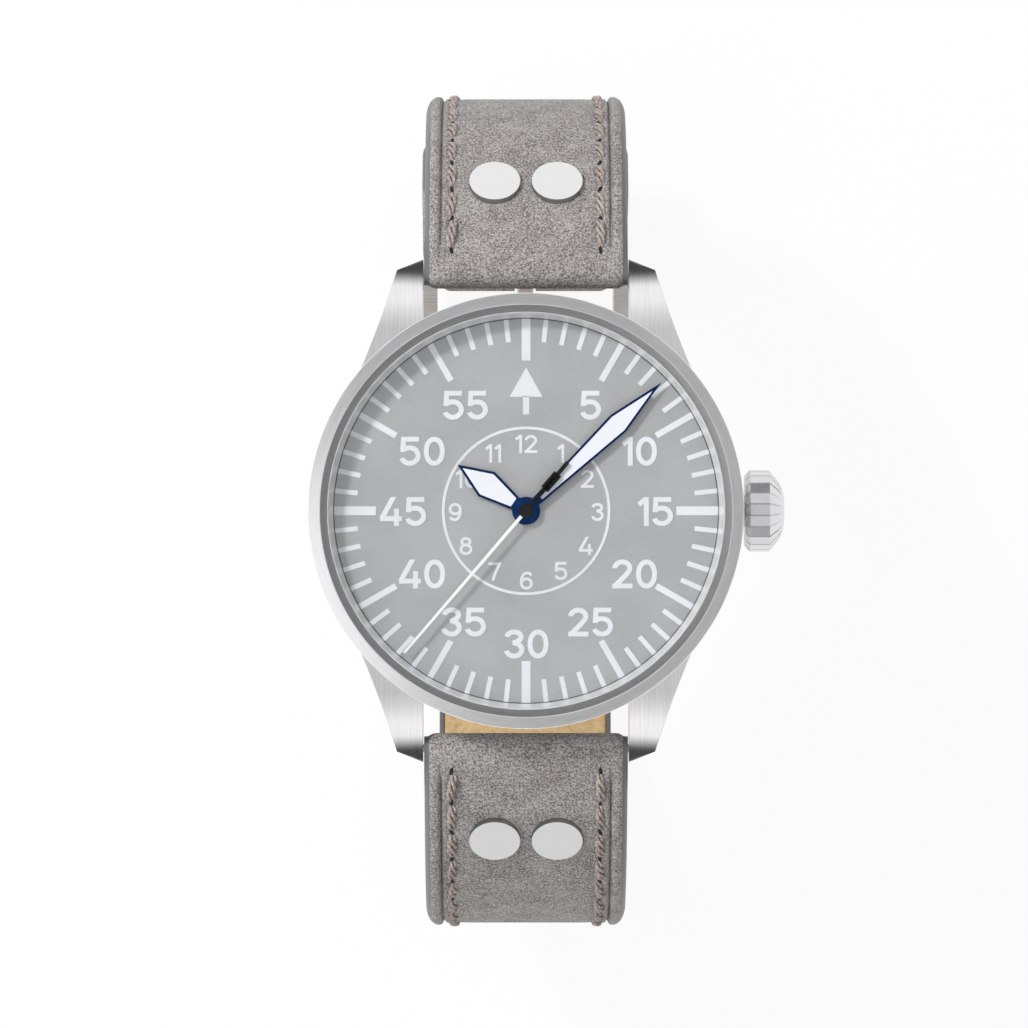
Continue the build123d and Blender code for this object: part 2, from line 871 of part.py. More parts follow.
finish(pallet_fork.part, "pallet_fork")

# Balance wheel: rim, arm and staff
with BuildPart() as balance_wheel:
    flats(
        small_ring_sides,
        balance_radius,
        balance_z,
        balance_z + balance_rim_height,
        centre=balance_at,
        bore=balance_radius - balance_rim_width,
    )
    with BuildSketch(Plane((balance_at[0], balance_at[1], balance_z))):
        Rectangle(2 * balance_radius - balance_rim_width, balance_arm_width)
        RegularPolygon(balance_hub_radius, pin_sides)
    extrude(amount=balance_rim_height)
    flats(
        post_sides,
        arbor_radius,
        bridge_low_z + bridge_thickness / 2 + pivot_gap,
        plate_low_z - pivot_gap,
        centre=balance_at,
    )
finish(balance_wheel.part, "balance_wheel")

# Hairspring: a flat spiral under the balance
spring_low = bridge_low_z + bridge_thickness / 2 + side_gap
with BuildPart() as hairspring:
    inner_edge = []
    outer_edge = []
    for step in range(hairspring_turns * hairspring_steps + 1):
        turn = 2 * math.pi * step / hairspring_steps
        radius = hairspring_inner + hairspring_pitch * step / hairspring_steps
        outer = radius + hairspring_width
        inner_edge.append((radius * math.cos(turn), radius * math.sin(turn)))
        outer_edge.append((outer * math.cos(turn), outer * math.sin(turn)))
    with BuildSketch(Plane((balance_at[0], balance_at[1], spring_low))):
        Polygon(*inner_edge, *reversed(outer_edge), align=None)
    extrude(amount=hairspring_height)
finish(hairspring.part, "hairspring")

# Cannon pinion, friction tight on the centre arbor, with the minute hand's seat
cannon_low_z = plate_top_z + pivot_gap
with BuildPart() as cannon_pinion:
    wheel(
        cannon_leaves,
        cannon_module,
        cannon_low_z,
        cannon_low_z + pinion_height / 2,
        bore=cannon_bore,
    )
    flats(pin_sides, cannon_radius, cannon_low_z, minute_hand_z, bore=cannon_bore)
finish(cannon_pinion.part, "cannon_pinion")

# Minute wheel and pinion on the plate's post
with BuildPart() as minute_wheel:
    wheel(
        minute_wheel_teeth,
        cannon_module,
        cannon_low_z,
        cannon_low_z + wheel_thickness,
        centre=minute_wheel_at,
        bore=arbor_radius + running_gap,
    )
    wheel(
        minute_pinion_leaves,
        hour_module,
        cannon_low_z,
        movement_top_z - 2 * pivot_gap,
        centre=minute_wheel_at,
        bore=arbor_radius + running_gap,
    )
finish(minute_wheel.part, "minute_wheel")

# Hour wheel with the tube that carries the hour hand
hour_wheel_z = cannon_low_z + pinion_height / 2 + pivot_gap
with BuildPart() as hour_wheel:
    wheel(
        hour_wheel_teeth,
        hour_module,
        hour_wheel_z,
        hour_wheel_z + wheel_thickness,
        bore=hour_bore,
    )
    flats(pin_sides, hour_tube_radius, hour_wheel_z, hour_hand_z, bore=hour_bore)
finish(hour_wheel.part, "hour_wheel")


def hand_plane(height, angle):
    """A plane at a height whose Y axis points along a hand, the angle clockwise from twelve."""
    turn = math.radians(angle)
    return Plane((0, 0, height), x_dir=(math.cos(turn), -math.sin(turn), 0), z_dir=(0, 0, 1))


def hand_blade(length, wide, wide_at, neck):
    """Outline of a leaf shaped hand along Y."""
    with BuildSketch() as blade:
        with BuildLine():
            Polyline((-neck, 0), (-wide, wide_at), (0, length), (wide, wide_at), (neck, 0), close=True)
        make_face()
    return blade.sketch


def hand_window(length, wide, wide_at, neck, start, end):
    """The opening for the luminous filling, inside the blade's frame."""
    inner = offset(hand_blade(length, wide, wide_at, neck), amount=-hand_frame, kind=Kind.INTERSECTION)
    with BuildSketch() as reach:
        with Locations((0, (start + end) / 2)):
            Rectangle(4 * wide, end - start)
    return inner & reach.sketch


hour_window = hand_window(
    hour_hand_length,
    hour_hand_wide,
    hour_hand_wide_at,
    hour_hand_neck,
    lume_start,
    hour_hand_length,
)
minute_window = hand_window(
    minute_hand_length,
    minute_hand_wide,
    minute_hand_wide_at,
    minute_hand_neck,
    lume_start,
    minute_hand_length - minute_hand_tip,
)
hour_plane = hand_plane(hour_hand_z, hour_hand_angle)
minute_plane = hand_plane(minute_hand_z, minute_hand_angle)
seconds_plane = hand_plane(seconds_hand_z, seconds_hand_angle)

# Hour hand: blued frame, seated on the hour wheel's tube
with BuildPart() as hour_hand:
    with BuildSketch(hour_plane):
        add(hand_blade(hour_hand_length, hour_hand_wide, hour_hand_wide_at, hour_hand_neck))
        RegularPolygon(hand_hub_radius, small_ring_sides)
        add(hour_window, mode=Mode.SUBTRACT)
        RegularPolygon(cannon_radius + running_gap, pin_sides, mode=Mode.SUBTRACT)
    extrude(amount=hand_thickness)
finish(hour_hand.part, "hour_hand")

with BuildPart() as hour_hand_lume:
    with BuildSketch(hour_plane):
        add(hour_window)
    extrude(amount=hand_thickness)
finish(hour_hand_lume.part, "hour_hand_lume")

# Minute hand: blued frame, seated on the cannon pinion
with BuildPart() as minute_hand:
    with BuildSketch(minute_plane):
        add(hand_blade(minute_hand_length, minute_hand_wide, minute_hand_wide_at, minute_hand_neck))
        RegularPolygon(hand_hub_radius, small_ring_sides)
        add(minute_window, mode=Mode.SUBTRACT)
        RegularPolygon(cannon_bore, pin_sides, mode=Mode.SUBTRACT)
    extrude(amount=hand_thickness)
finish(minute_hand.part, "minute_hand")

with BuildPart() as minute_hand_lume:
    with BuildSketch(minute_plane):
        add(minute_window)
    extrude(amount=hand_thickness)
finish(minute_hand_lume.part, "minute_hand_lume")

# Seconds hand: needle, hub and weighted tail
with BuildPart() as seconds_hand:
    with BuildSketch(seconds_plane):
        with BuildLine():
            Polyline(
                (-seconds_hand_root, 0),
                (-seconds_hand_end, seconds_hand_length),
                (seconds_hand_end, seconds_hand_length),
                (seconds_hand_root, 0),
                close=True,
            )
        make_face()
        Circle(seconds_hub_radius)
        with Locations((0, -seconds_tail_length / 2)):
            Rectangle(seconds_tail_width, seconds_tail_length)
        with Locations((0, -seconds_block_at)):
            Rectangle(seconds_block_width, seconds_block_length)
    extrude(amount=hand_thickness)
finish(seconds_hand.part, "seconds_hand")

# Crown tube, fixed in the case wall
with BuildPart() as crown_tube:
    on_stem(
        small_ring_sides,
        crown_tube_radius,
        case_bore + crown_tube_inset,
        crown_start + crown_tube_reach,
        bore=stem_radius + 2 * running_gap,
    )
finish(crown_tube.part, "crown_tube")


def crown_star(start, radius):
    """The crown's fluted section at a place along the stem."""
    low_radius = radius * (crown_radius - crown_flute_depth) / crown_radius
    corners = []
    for flute in range(crown_flutes):
        turn = 2 * math.pi * flute / crown_flutes
        half_turn = turn + math.pi / crown_flutes
        corners.append((radius * math.cos(turn), radius * math.sin(turn)))
        corners.append((low_radius * math.cos(half_turn), low_radius * math.sin(half_turn)))
    with BuildSketch(Plane((start, 0, stem_z), x_dir=(0, 1, 0), z_dir=(1, 0, 0))) as star:
        Polygon(*corners, align=None)
    return star.sketch


# Fluted crown: the flutes run on over the nose, and a socket slides over the tube
crown_end = crown_start + crown_length
crown_band_end = crown_start + crown_band
crown_waist = (crown_band_end + crown_end) / 2
crown_waist_radius = (crown_radius + crown_nose_radius) / 2 + crown_bulge
crown_socket_radius = crown_tube_radius + crown_gasket_width
with BuildPart() as crown:
    band = crown_star(crown_start + crown_chamfer, crown_radius)
    loft([crown_star(crown_start, crown_radius - crown_chamfer), band], ruled=True)
    extrude(band, amount=crown_band - crown_chamfer)
    nose = [
        crown_star(crown_band_end, crown_radius),
        crown_star(crown_waist, crown_waist_radius),
        crown_star(crown_end, crown_nose_radius),
    ]
    loft(nose, ruled=True)
    on_stem(
        small_ring_sides,
        crown_socket_radius,
        crown_start - cut_over,
        crown_start + crown_socket_depth,
        mode=Mode.SUBTRACT,
    )
    on_stem(
        pin_sides,
        stem_radius,
        crown_start,
        crown_start + crown_socket_depth + stem_thread,
        mode=Mode.SUBTRACT,
    )
finish(crown.part, "crown")

# Gasket inside the crown, round the tube
with BuildPart() as crown_gasket:
    on_stem(
        small_ring_sides,
        crown_socket_radius,
        crown_start,
        crown_start + crown_gasket_length,
        bore=crown_tube_radius + 2 * running_gap,
    )
finish(crown_gasket.part, "crown_gasket")

# Winding stem with the setting lever's groove, screwed into the crown
with BuildPart() as winding_stem:
    on_stem(pin_sides, stem_radius, stem_inner_end, crown_start + crown_socket_depth + stem_thread)
    on_stem(
        pin_sides,
        stem_radius + cut_over,
        stem_groove_at,
        stem_groove_at + stem_groove_length,
        bore=stem_groove_radius,
        mode=Mode.SUBTRACT,
    )
finish(winding_stem.part, "winding_stem")


def stem_pinion(radius, leaves, start, length, bore):
    """A toothed sleeve on the stem."""
    corners = []
    for leaf in range(leaves):
        turn = 2 * math.pi * leaf / leaves
        half_turn = turn + math.pi / leaves
        root = radius - 2 * stem_groove_radius / 3
        corners.append((radius * math.cos(turn), radius * math.sin(turn)))
        corners.append((root * math.cos(half_turn), root * math.sin(half_turn)))
    with BuildSketch(Plane((start, 0, stem_z), x_dir=(0, 1, 0), z_dir=(1, 0, 0))) as face:
        Polygon(*corners, align=None)
        RegularPolygon(bore, pin_sides, mode=Mode.SUBTRACT)
    extrude(face.sketch, amount=length)


# Sliding pinion, square on the stem, and the winding pinion beside the case
with BuildPart() as sliding_pinion:
    stem_pinion(clutch_radius, winding_leaves, stem_inner_end + clutch_from_end, clutch_length, stem_radius)
finish(sliding_pinion.part, "sliding_pinion")

with BuildPart() as winding_pinion:
    stem_pinion(
        clutch_radius,
        winding_leaves,
        movement_radius - winding_pinion_inset,
        winding_pinion_length,
        stem_radius + running_gap,
    )
finish(winding_pinion.part, "winding_pinion")

# Setting lever: a fork in the stem's groove, which follows the stem when it is pulled
with BuildPart() as setting_lever:
    lever_start = stem_groove_at + (stem_groove_length - lever_thickness) / 2
    with BuildSketch(Plane((lever_start, 0, stem_z), x_dir=(0, 1, 0), z_dir=(1, 0, 0))):
        with Locations((-lever_length / 2 + lever_width / 2, 0)):
            Rectangle(lever_length, lever_width)
        RegularPolygon(stem_groove_radius + running_gap, pin_sides, mode=Mode.SUBTRACT)
        with Locations((lever_width / 2, 0)):
            Rectangle(lever_width, 2 * (stem_groove_radius + running_gap), mode=Mode.SUBTRACT)
    extrude(amount=lever_thickness)
finish(setting_lever.part, "setting_lever")


def strap_depth(angle):
    """Thickness of the strap at an angle on the upper arc, thinning from the lugs to the widest place."""
    done = (angle - bar_angle) / (widest_angle - bar_angle)
    return strap_end_thickness + (strap_thickness - strap_end_thickness) * done


def on_upper(half, angle, depth):
    """A point of the side view on the upper arc, some depth under the outer surface."""
    turn = math.radians(angle)
    radius = loop_upper_radius - depth
    return (half * (upper_centre_y + radius * math.sin(turn)), loop_centre_z + radius * math.cos(turn))


def on_lower(half, angle, depth):
    """A point of the side view on the lower arc, its angle measured from straight down."""
    turn = math.radians(angle)
    radius = loop_lower_radius - depth
    return (half * (lower_centre_y + radius * math.sin(turn)), loop_centre_z - radius * math.cos(turn))


def upper_arc(half, start, end, skin):
    """An arc on the upper stretch at the strap's depth less a skin, or on its outer surface for skin None."""
    points = []
    for angle in (start, (start + end) / 2, end):
        depth = 0 if skin is None else strap_depth(angle) - skin
        points.append(on_upper(half, angle, depth))
    ThreePointArc(*points)


def lower_arc(half, start, end, depth):
    """An arc on the lower stretch at one depth."""
    ThreePointArc(
        on_lower(half, start, depth),
        on_lower(half, (start + end) / 2, depth),
        on_lower(half, end, depth),
    )


def strap_section_cut():
    """The front view of the strap, which narrows from its lug width to its far width."""
    top = loop_centre_z + loop_upper_radius + cut_over
    lug_half = strap_width / 2
    far_half = strap_far_width / 2
    with BuildSketch(Plane.XZ) as front:
        with BuildLine():
            Polyline(
                (-lug_half, top),
                (lug_half, top),
                (lug_half, taper_high),
                (far_half, taper_low),
                (far_half, -cut_over),
                (-far_half, -cut_over),
                (-far_half, taper_low),
                (-lug_half, taper_high),
                close=True,
            )
        make_face()
    reach = upper_centre_y + loop_upper_radius + cut_over
    return extrude(front.sketch, amount=reach, both=True, mode=Mode.PRIVATE)


buckle_reach = loop_lower_radius - strap_thickness / 2
buckle_bar_from_axis = lower_centre_y + buckle_reach * math.sin(math.radians(buckle_angle))
buckle_bar_z = loop_centre_z - buckle_reach * math.cos(math.radians(buckle_angle))
lining_end_angle = buckle_angle + leather_fold_angle
strap_shape = strap_section_cut()
keeper_angle = buckle_angle + math.degrees(keeper_from_bar / buckle_reach)
rivet_angle = math.degrees(math.asin((rivet_from_axis - upper_centre_y) / loop_upper_radius))


def cut_bar_hole(half):
    """The strap's hole for its spring bar."""
    with BuildSketch(Plane.YZ) as hole:
        with Locations((half * bar_from_axis, bar_z)):
            RegularPolygon(bar_radius + 2 * running_gap, pin_sides)
    extrude(hole.sketch, amount=strap_width, both=True, mode=Mode.SUBTRACT)


def add_bar_roll(half):
    """The strap's round end over the spring bar."""
    with BuildSketch(Plane.YZ) as roll:
        with Locations((half * bar_from_axis, bar_z)):
            Circle(strap_end_radius)
    extrude(roll.sketch, amount=strap_width / 2, both=True)


def rivet_plane(half, hand, depth):
    """A plane on the strap at a rivet, its normal pointing out of the strap."""
    turn = math.radians(rivet_angle)
    y, z = on_upper(half, rivet_angle, depth)
    normal = (0, half * math.sin(turn), math.cos(turn))
    return Plane((hand * rivet_spacing / 2, y, z), x_dir=(1, 0, 0), z_dir=normal)


def cut_rivet_holes(half):
    """Holes through the strap for both rivets."""
    for hand in (1, -1):
        with BuildSketch(rivet_plane(half, hand, strap_end_thickness + cut_over)) as hole:
            RegularPolygon(rivet_post_radius + running_gap, post_sides)
        extrude(hole.sketch, amount=strap_end_thickness + 2 * cut_over, mode=Mode.SUBTRACT)


def cut_strap_holes():
    """The row of holes in the long half, spaced along its curve from the tip."""
    tip_y = loop_flat / 2 + strap_tip_reach
    for hole in range(hole_count):
        run = hole_from_tip + hole_pitch * hole - strap_tip_reach - loop_flat
        turn = max(run, 0) / loop_lower_radius
        y = -(lower_centre_y + loop_lower_radius * math.sin(turn)) if run > 0 else tip_y - hole_from_tip
        z = loop_centre_z - loop_lower_radius * math.cos(turn)
        normal = (0, -math.sin(turn), -math.cos(turn))
        with BuildSketch(Plane((0, y, z), x_dir=(1, 0, 0), z_dir=normal)) as face:
            RegularPolygon(hole_radius, post_sides)
        extrude(face.sketch, amount=cut_over, both=True, mode=Mode.SUBTRACT)
        extrude(face.sketch, amount=-strap_thickness - cut_over, mode=Mode.SUBTRACT)


def cut_tang_slot():
    """The slot in the short half's end that lets the tang turn on its bar."""
    slot_width = tang_width + 2 * tang_slot_play
    with BuildSketch(buckle_plane) as slot:
        with Locations((0, -(tang_slot_length - strap_thickness) / 2)):
            Rectangle(slot_width, tang_slot_length + strap_thickness)
    extrude(slot.sketch, amount=strap_thickness + cut_over, both=True, mode=Mode.SUBTRACT)


# The buckle's own plane: Y runs from the bar to the frame's far edge, Z points out of the loop
slope = math.radians(buckle_drop_angle)
buckle_plane = Plane(
    (0, buckle_bar_from_axis, buckle_bar_z),
    x_dir=(1, 0, 0),
    z_dir=(0, math.sin(slope), -math.cos(slope)),
)

# Outer leather of the short half, folded round the spring bar and round the buckle's bar
with BuildPart() as upper_strap_leather:
    with BuildSketch(Plane.YZ):
        with BuildLine():
            upper_arc(1, bar_angle, widest_angle, None)
            lower_arc(1, widest_angle, buckle_angle, 0)
            Line(on_lower(1, buckle_angle, 0), on_lower(1, buckle_angle, strap_thickness))
            lower_arc(1, buckle_angle, lining_end_angle, strap_thickness)
            Line(
                on_lower(1, lining_end_angle, strap_thickness),
                on_lower(1, lining_end_angle, strap_thickness - lining_thickness),
            )
            lower_arc(1, lining_end_angle, widest_angle, strap_thickness - lining_thickness)
            upper_arc(1, widest_angle, fold_end_angle, lining_thickness)
            Line(
                on_upper(1, fold_end_angle, strap_depth(fold_end_angle) - lining_thickness),
                on_upper(1, fold_end_angle, strap_depth(fold_end_angle)),
            )
            upper_arc(1, fold_end_angle, bar_angle, 0)
            Line(on_upper(1, bar_angle, strap_end_thickness), on_upper(1, bar_angle, 0))
        make_face()
    extrude(amount=strap_width / 2, both=True)
    add_bar_roll(1)
    with BuildSketch(Plane.YZ):
        with Locations((buckle_bar_from_axis, buckle_bar_z)):
            Circle(strap_thickness / 2)
    extrude(amount=strap_width / 2, both=True)
    add(strap_shape, mode=Mode.INTERSECT)
    cut_bar_hole(1)
    with BuildSketch(Plane.YZ):
        with Locations((buckle_bar_from_axis, buckle_bar_z)):
            RegularPolygon(buckle_bar_radius + 2 * running_gap, pin_sides)
    extrude(amount=strap_width, both=True, mode=Mode.SUBTRACT)
    cut_tang_slot()
    cut_rivet_holes(1)
finish(upper_strap_leather.part, "upper_strap_leather")

# Tan lining of the short half
with BuildPart() as upper_strap_lining:
    with BuildSketch(Plane.YZ):
        with BuildLine():
            upper_arc(1, fold_end_angle, widest_angle, lining_thickness)
            lower_arc(1, widest_angle, lining_end_angle, strap_thickness - lining_thickness)
            Line(
                on_lower(1, lining_end_angle, strap_thickness - lining_thickness),
                on_lower(1, lining_end_angle, strap_thickness),
            )
            lower_arc(1, lining_end_angle, widest_angle, strap_thickness)
            upper_arc(1, widest_angle, fold_end_angle, 0)
            Line(
                on_upper(1, fold_end_angle, strap_depth(fold_end_angle)),
                on_upper(1, fold_end_angle, strap_depth(fold_end_angle) - lining_thickness),
            )
        make_face()
    extrude(amount=strap_width / 2, both=True)
    add(strap_shape, mode=Mode.INTERSECT)
    cut_rivet_holes(1)
finish(upper_strap_lining.part, "upper_strap_lining")

# Outer leather of the long half, down to the floor and along it
tip_end = loop_flat / 2 + strap_tip_reach
with BuildPart() as lower_strap_leather:
    leather_depth = strap_thickness - lining_thickness
    with BuildSketch(Plane.YZ):
        with BuildLine():
            upper_arc(-1, bar_angle, widest_angle, None)
            lower_arc(-1, widest_angle, 0, 0)
            Line((-loop_flat / 2, 0), (tip_end, 0))
            Line((tip_end, 0), (tip_end, leather_depth))
            Line((tip_end, leather_depth), (-loop_flat / 2, leather_depth))
            lower_arc(-1, 0, widest_angle, leather_depth)
            upper_arc(-1, widest_angle, fold_end_angle, lining_thickness)
            Line(
                on_upper(-1, fold_end_angle, strap_depth(fold_end_angle) - lining_thickness),
                on_upper(-1, fold_end_angle, strap_depth(fold_end_angle)),
            )
            upper_arc(-1, fold_end_angle, bar_angle, 0)
            Line(on_upper(-1, bar_angle, strap_end_thickness), on_upper(-1, bar_angle, 0))
        make_face()
    extrude(amount=strap_width / 2, both=True)
    add_bar_roll(-1)
    add(strap_shape, mode=Mode.INTERSECT)
    cut_bar_hole(-1)
    cut_strap_holes()
    cut_rivet_holes(-1)
    tip_edges = lower_strap_leather.edges().filter_by(Axis.Z).group_by(Axis.Y)[-1]
    fillet(tip_edges, radius=strap_tip_corner)
finish(lower_strap_leather.part, "lower_strap_leather")

# Tan lining of the long half
with BuildPart() as lower_strap_lining:
    with BuildSketch(Plane.YZ):
        with BuildLine():
            upper_arc(-1, fold_end_angle, widest_angle, lining_thickness)
            lower_arc(-1, widest_angle, 0, leather_depth)
            Line((-loop_flat / 2, leather_depth), (tip_end, leather_depth))
            Line((tip_end, leather_depth), (tip_end, strap_thickness))
            Line((tip_end, strap_thickness), (-loop_flat / 2, strap_thickness))
            lower_arc(-1, 0, widest_angle, strap_thickness)
            upper_arc(-1, widest_angle, fold_end_angle, 0)
            Line(
                on_upper(-1, fold_end_angle, strap_depth(fold_end_angle)),
                on_upper(-1, fold_end_angle, strap_depth(fold_end_angle) - lining_thickness),
            )
        make_face()
    extrude(amount=strap_width / 2, both=True)
    add(strap_shape, mode=Mode.INTERSECT)
    cut_strap_holes()
    cut_rivet_holes(-1)
    tip_edges = lower_strap_lining.edges().filter_by(Axis.Z).group_by(Axis.Y)[-1]
    fillet(tip_edges, radius=strap_tip_corner)
finish(lower_strap_lining.part, "lower_strap_lining")


def rivet_pair(half):
    """Two rivets: flat head outside, post through the strap, washer on the lining."""
    depth = strap_depth(rivet_angle)
    washer_depth = depth + rivet_washer_radius**2 / (2 * (loop_upper_radius - depth)) + side_gap
    for hand in (1, -1):
        with BuildSketch(rivet_plane(half, hand, 0)) as head:
            RegularPolygon(rivet_head_radius, rivet_sides)
        extrude(head.sketch, amount=rivet_head_thickness)
        with BuildSketch(rivet_plane(half, hand, 0)) as post:
            RegularPolygon(rivet_post_radius, post_sides)
        extrude(post.sketch, amount=-washer_depth)
        with BuildSketch(rivet_plane(half, hand, washer_depth)) as washer:
            RegularPolygon(rivet_washer_radius, pin_sides)
        extrude(washer.sketch, amount=-rivet_washer_thickness)


with BuildPart() as upper_rivets:
    rivet_pair(1)
finish(upper_rivets.part, "upper_rivets")

with BuildPart() as lower_rivets:
    rivet_pair(-1)
finish(lower_rivets.part, "lower_rivets")


def along_bar(half, start, radius, length, direction, mode=Mode.ADD):
    """A pin on a spring bar's axis, from a place on X in a direction along it."""
    plane = Plane((start, half * bar_from_axis, bar_z), x_dir=(0, 1, 0), z_dir=(direction, 0, 0))
    with BuildSketch(plane) as face:
        RegularPolygon(radius, pin_sides)
    extrude(face.sketch, amount=length, mode=mode)


def spring_bar_tube(half):
    """The bar's tube, hollow at both ends, its mouths drawn in round the tips."""
    tube_half = lug_gap / 2 - strap_side_play
    along_bar(half, -tube_half, bar_radius, 2 * tube_half, 1)
    for hand in (1, -1):
        along_bar(half, hand * tube_half, bar_tip_radius + running_gap, bar_socket_depth, -hand, Mode.SUBTRACT)
        along_bar(
            half,
            hand * (tube_half - bar_wall),
            bar_shoulder_radius + running_gap,
            bar_socket_depth - bar_wall,
            -hand,
            Mode.SUBTRACT,
        )


def spring_bar_tip(half, hand):
    """One sprung tip: shoulder inside the tube, pin into the lug."""
    shoulder_at = lug_gap / 2 - strap_side_play - bar_shoulder_from_end
    along_bar(half, hand * shoulder_at, bar_shoulder_radius, bar_shoulder_length, -hand)
    pin_length = lug_gap / 2 + bar_tip_reach - shoulder_at
    along_bar(half, hand * shoulder_at, bar_tip_radius, pin_length, hand)


bar_sides = {"upper": 1, "lower": -1}
bar_hands = {"right": 1, "left": -1}
for side_name, half in bar_sides.items():
    with BuildPart() as spring_bar:
        spring_bar_tube(half)
    finish(spring_bar.part, f"{side_name}_spring_bar")
    for hand_name, hand in bar_hands.items():
        with BuildPart() as bar_tip:
            spring_bar_tip(half, hand)
        finish(bar_tip.part, f"{side_name}_{hand_name}_bar_tip")

# Buckle frame: two arms and the end bar, with the tang's notch
frame_half = buckle_inner_width / 2 + buckle_arm
tang_low = buckle_thickness / 2 - tang_thickness
with BuildPart() as buckle_frame:
    with BuildSketch(buckle_plane) as frame_face:
        with BuildLine():
            arm_half = buckle_inner_width / 2
            end_low = buckle_length - buckle_end_width
            Polyline(
                (-frame_half, -buckle_heel),
                (-frame_half, buckle_length),
                (frame_half, buckle_length),
                (frame_half, -buckle_heel),
                (arm_half, -buckle_heel),
                (arm_half, end_low),
                (-arm_half, end_low),
                (-arm_half, -buckle_heel),
                close=True,
            )
        make_face()
        fillet(frame_face.vertices().group_by(Axis.Y)[-1], radius=buckle_corner)
        fillet(frame_face.vertices().group_by(Axis.Y)[0], radius=buckle_heel_corner)
    extrude(amount=buckle_thickness / 2, both=True)
    with BuildSketch(buckle_plane.offset(tang_low - side_gap)):
        with Locations((0, buckle_length)):
            Rectangle(tang_width + 2 * tang_slot_play, 2 * (buckle_end_width + cut_over))
    extrude(amount=tang_thickness + cut_over, mode=Mode.SUBTRACT)
    with BuildSketch(Plane.YZ):
        with Locations((buckle_bar_from_axis, buckle_bar_z)):
            RegularPolygon(buckle_bar_radius, pin_sides)
    extrude(amount=frame_half + cut_over, both=True, mode=Mode.SUBTRACT)
finish(buckle_frame.part, "buckle_frame")

# Bar across the buckle, pressed into both arms
with BuildPart() as buckle_bar:
    with BuildSketch(Plane.YZ):
        with Locations((buckle_bar_from_axis, buckle_bar_z)):
            RegularPolygon(buckle_bar_radius, pin_sides)
    extrude(amount=frame_half - side_gap, both=True)
finish(buckle_bar.part, "buckle_bar")

# Tang: its eye turns on the bar, its point lies in the notch
with BuildPart() as buckle_tang:
    with BuildSketch(Plane.YZ):
        with Locations((buckle_bar_from_axis, buckle_bar_z)):
            Circle(buckle_bar_radius + running_gap + tang_eye_wall)
    extrude(amount=tang_width / 2, both=True)
    with BuildSketch(buckle_plane.offset(tang_low)) as tang_face:
        with Locations((0, (buckle_length - side_gap) / 2)):
            Rectangle(tang_width, buckle_length - side_gap)
        fillet(tang_face.vertices().group_by(Axis.Y)[-1], radius=tang_width / 3)
    extrude(amount=tang_thickness)
    with BuildSketch(Plane.YZ):
        with Locations((buckle_bar_from_axis, buckle_bar_z)):
            RegularPolygon(buckle_bar_radius + 2 * running_gap, pin_sides)
    extrude(amount=tang_width, both=True, mode=Mode.SUBTRACT)
finish(buckle_tang.part, "buckle_tang")


def keeper(angle):
    """A leather band round the short half, open on the outside for the other half's tail."""
    turn = math.radians(angle)
    y, z = on_lower(1, angle, 0)
    along = (0, math.cos(turn), math.sin(turn))
    inner_half = strap_far_width / 2 + keeper_side_play
    low = -strap_thickness - keeper_play
    middle = (low + keeper_space) / 2
    with BuildSketch(Plane((0, y, z), x_dir=(1, 0, 0), z_dir=along)) as band:
        with Locations((0, middle)):
            RectangleRounded(
                2 * (inner_half + keeper_wall),
                keeper_space - low + 2 * keeper_wall,
                keeper_wall,
            )
            Rectangle(2 * inner_half, keeper_space - low, mode=Mode.SUBTRACT)
    extrude(band.sketch, amount=keeper_length / 2, both=True)


loose_keeper_turn = math.degrees((keeper_length + keeper_spacing) / (loop_lower_radius - strap_thickness))
with BuildPart() as fixed_keeper:
    keeper(keeper_angle)
finish(fixed_keeper.part, "fixed_keeper")

with BuildPart() as loose_keeper:
    keeper(keeper_angle + loose_keeper_turn)
finish(loose_keeper.part, "loose_keeper")
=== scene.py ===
import math
import random

import bmesh
import bpy
from mathutils import Matrix, Vector


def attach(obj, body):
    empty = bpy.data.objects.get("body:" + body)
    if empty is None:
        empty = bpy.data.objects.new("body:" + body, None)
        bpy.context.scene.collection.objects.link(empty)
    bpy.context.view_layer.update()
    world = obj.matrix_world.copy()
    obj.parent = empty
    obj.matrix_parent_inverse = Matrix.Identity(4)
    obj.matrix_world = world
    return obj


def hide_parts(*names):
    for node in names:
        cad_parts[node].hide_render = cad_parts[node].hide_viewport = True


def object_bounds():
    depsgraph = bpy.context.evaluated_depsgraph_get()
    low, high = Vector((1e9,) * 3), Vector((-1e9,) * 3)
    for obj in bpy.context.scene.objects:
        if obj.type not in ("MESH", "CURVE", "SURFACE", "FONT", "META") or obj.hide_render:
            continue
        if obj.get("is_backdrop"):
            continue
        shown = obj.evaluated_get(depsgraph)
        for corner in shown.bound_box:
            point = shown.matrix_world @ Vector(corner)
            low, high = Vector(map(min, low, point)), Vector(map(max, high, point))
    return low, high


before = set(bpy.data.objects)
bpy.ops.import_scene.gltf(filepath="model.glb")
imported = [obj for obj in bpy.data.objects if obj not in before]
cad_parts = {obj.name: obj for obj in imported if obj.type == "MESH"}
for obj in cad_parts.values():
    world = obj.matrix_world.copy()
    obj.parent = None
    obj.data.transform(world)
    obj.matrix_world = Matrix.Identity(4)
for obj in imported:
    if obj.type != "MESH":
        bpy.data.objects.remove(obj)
cad_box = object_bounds()
mm = 0.001

# Camera, table and lamps. The watch stands on its strap on a white table, seen from straight above with a
# long lens. A small lamp to the upper left casts the shadows, a wide one on the left shines on the bezel's
# slope, and the sky is pale with one dark band, like the panels of a studio.


def to_scene(name, data):
    """Puts a new object with its data in the scene."""
    made = bpy.data.objects.new(name, data)
    bpy.context.scene.collection.objects.link(made)
    return made


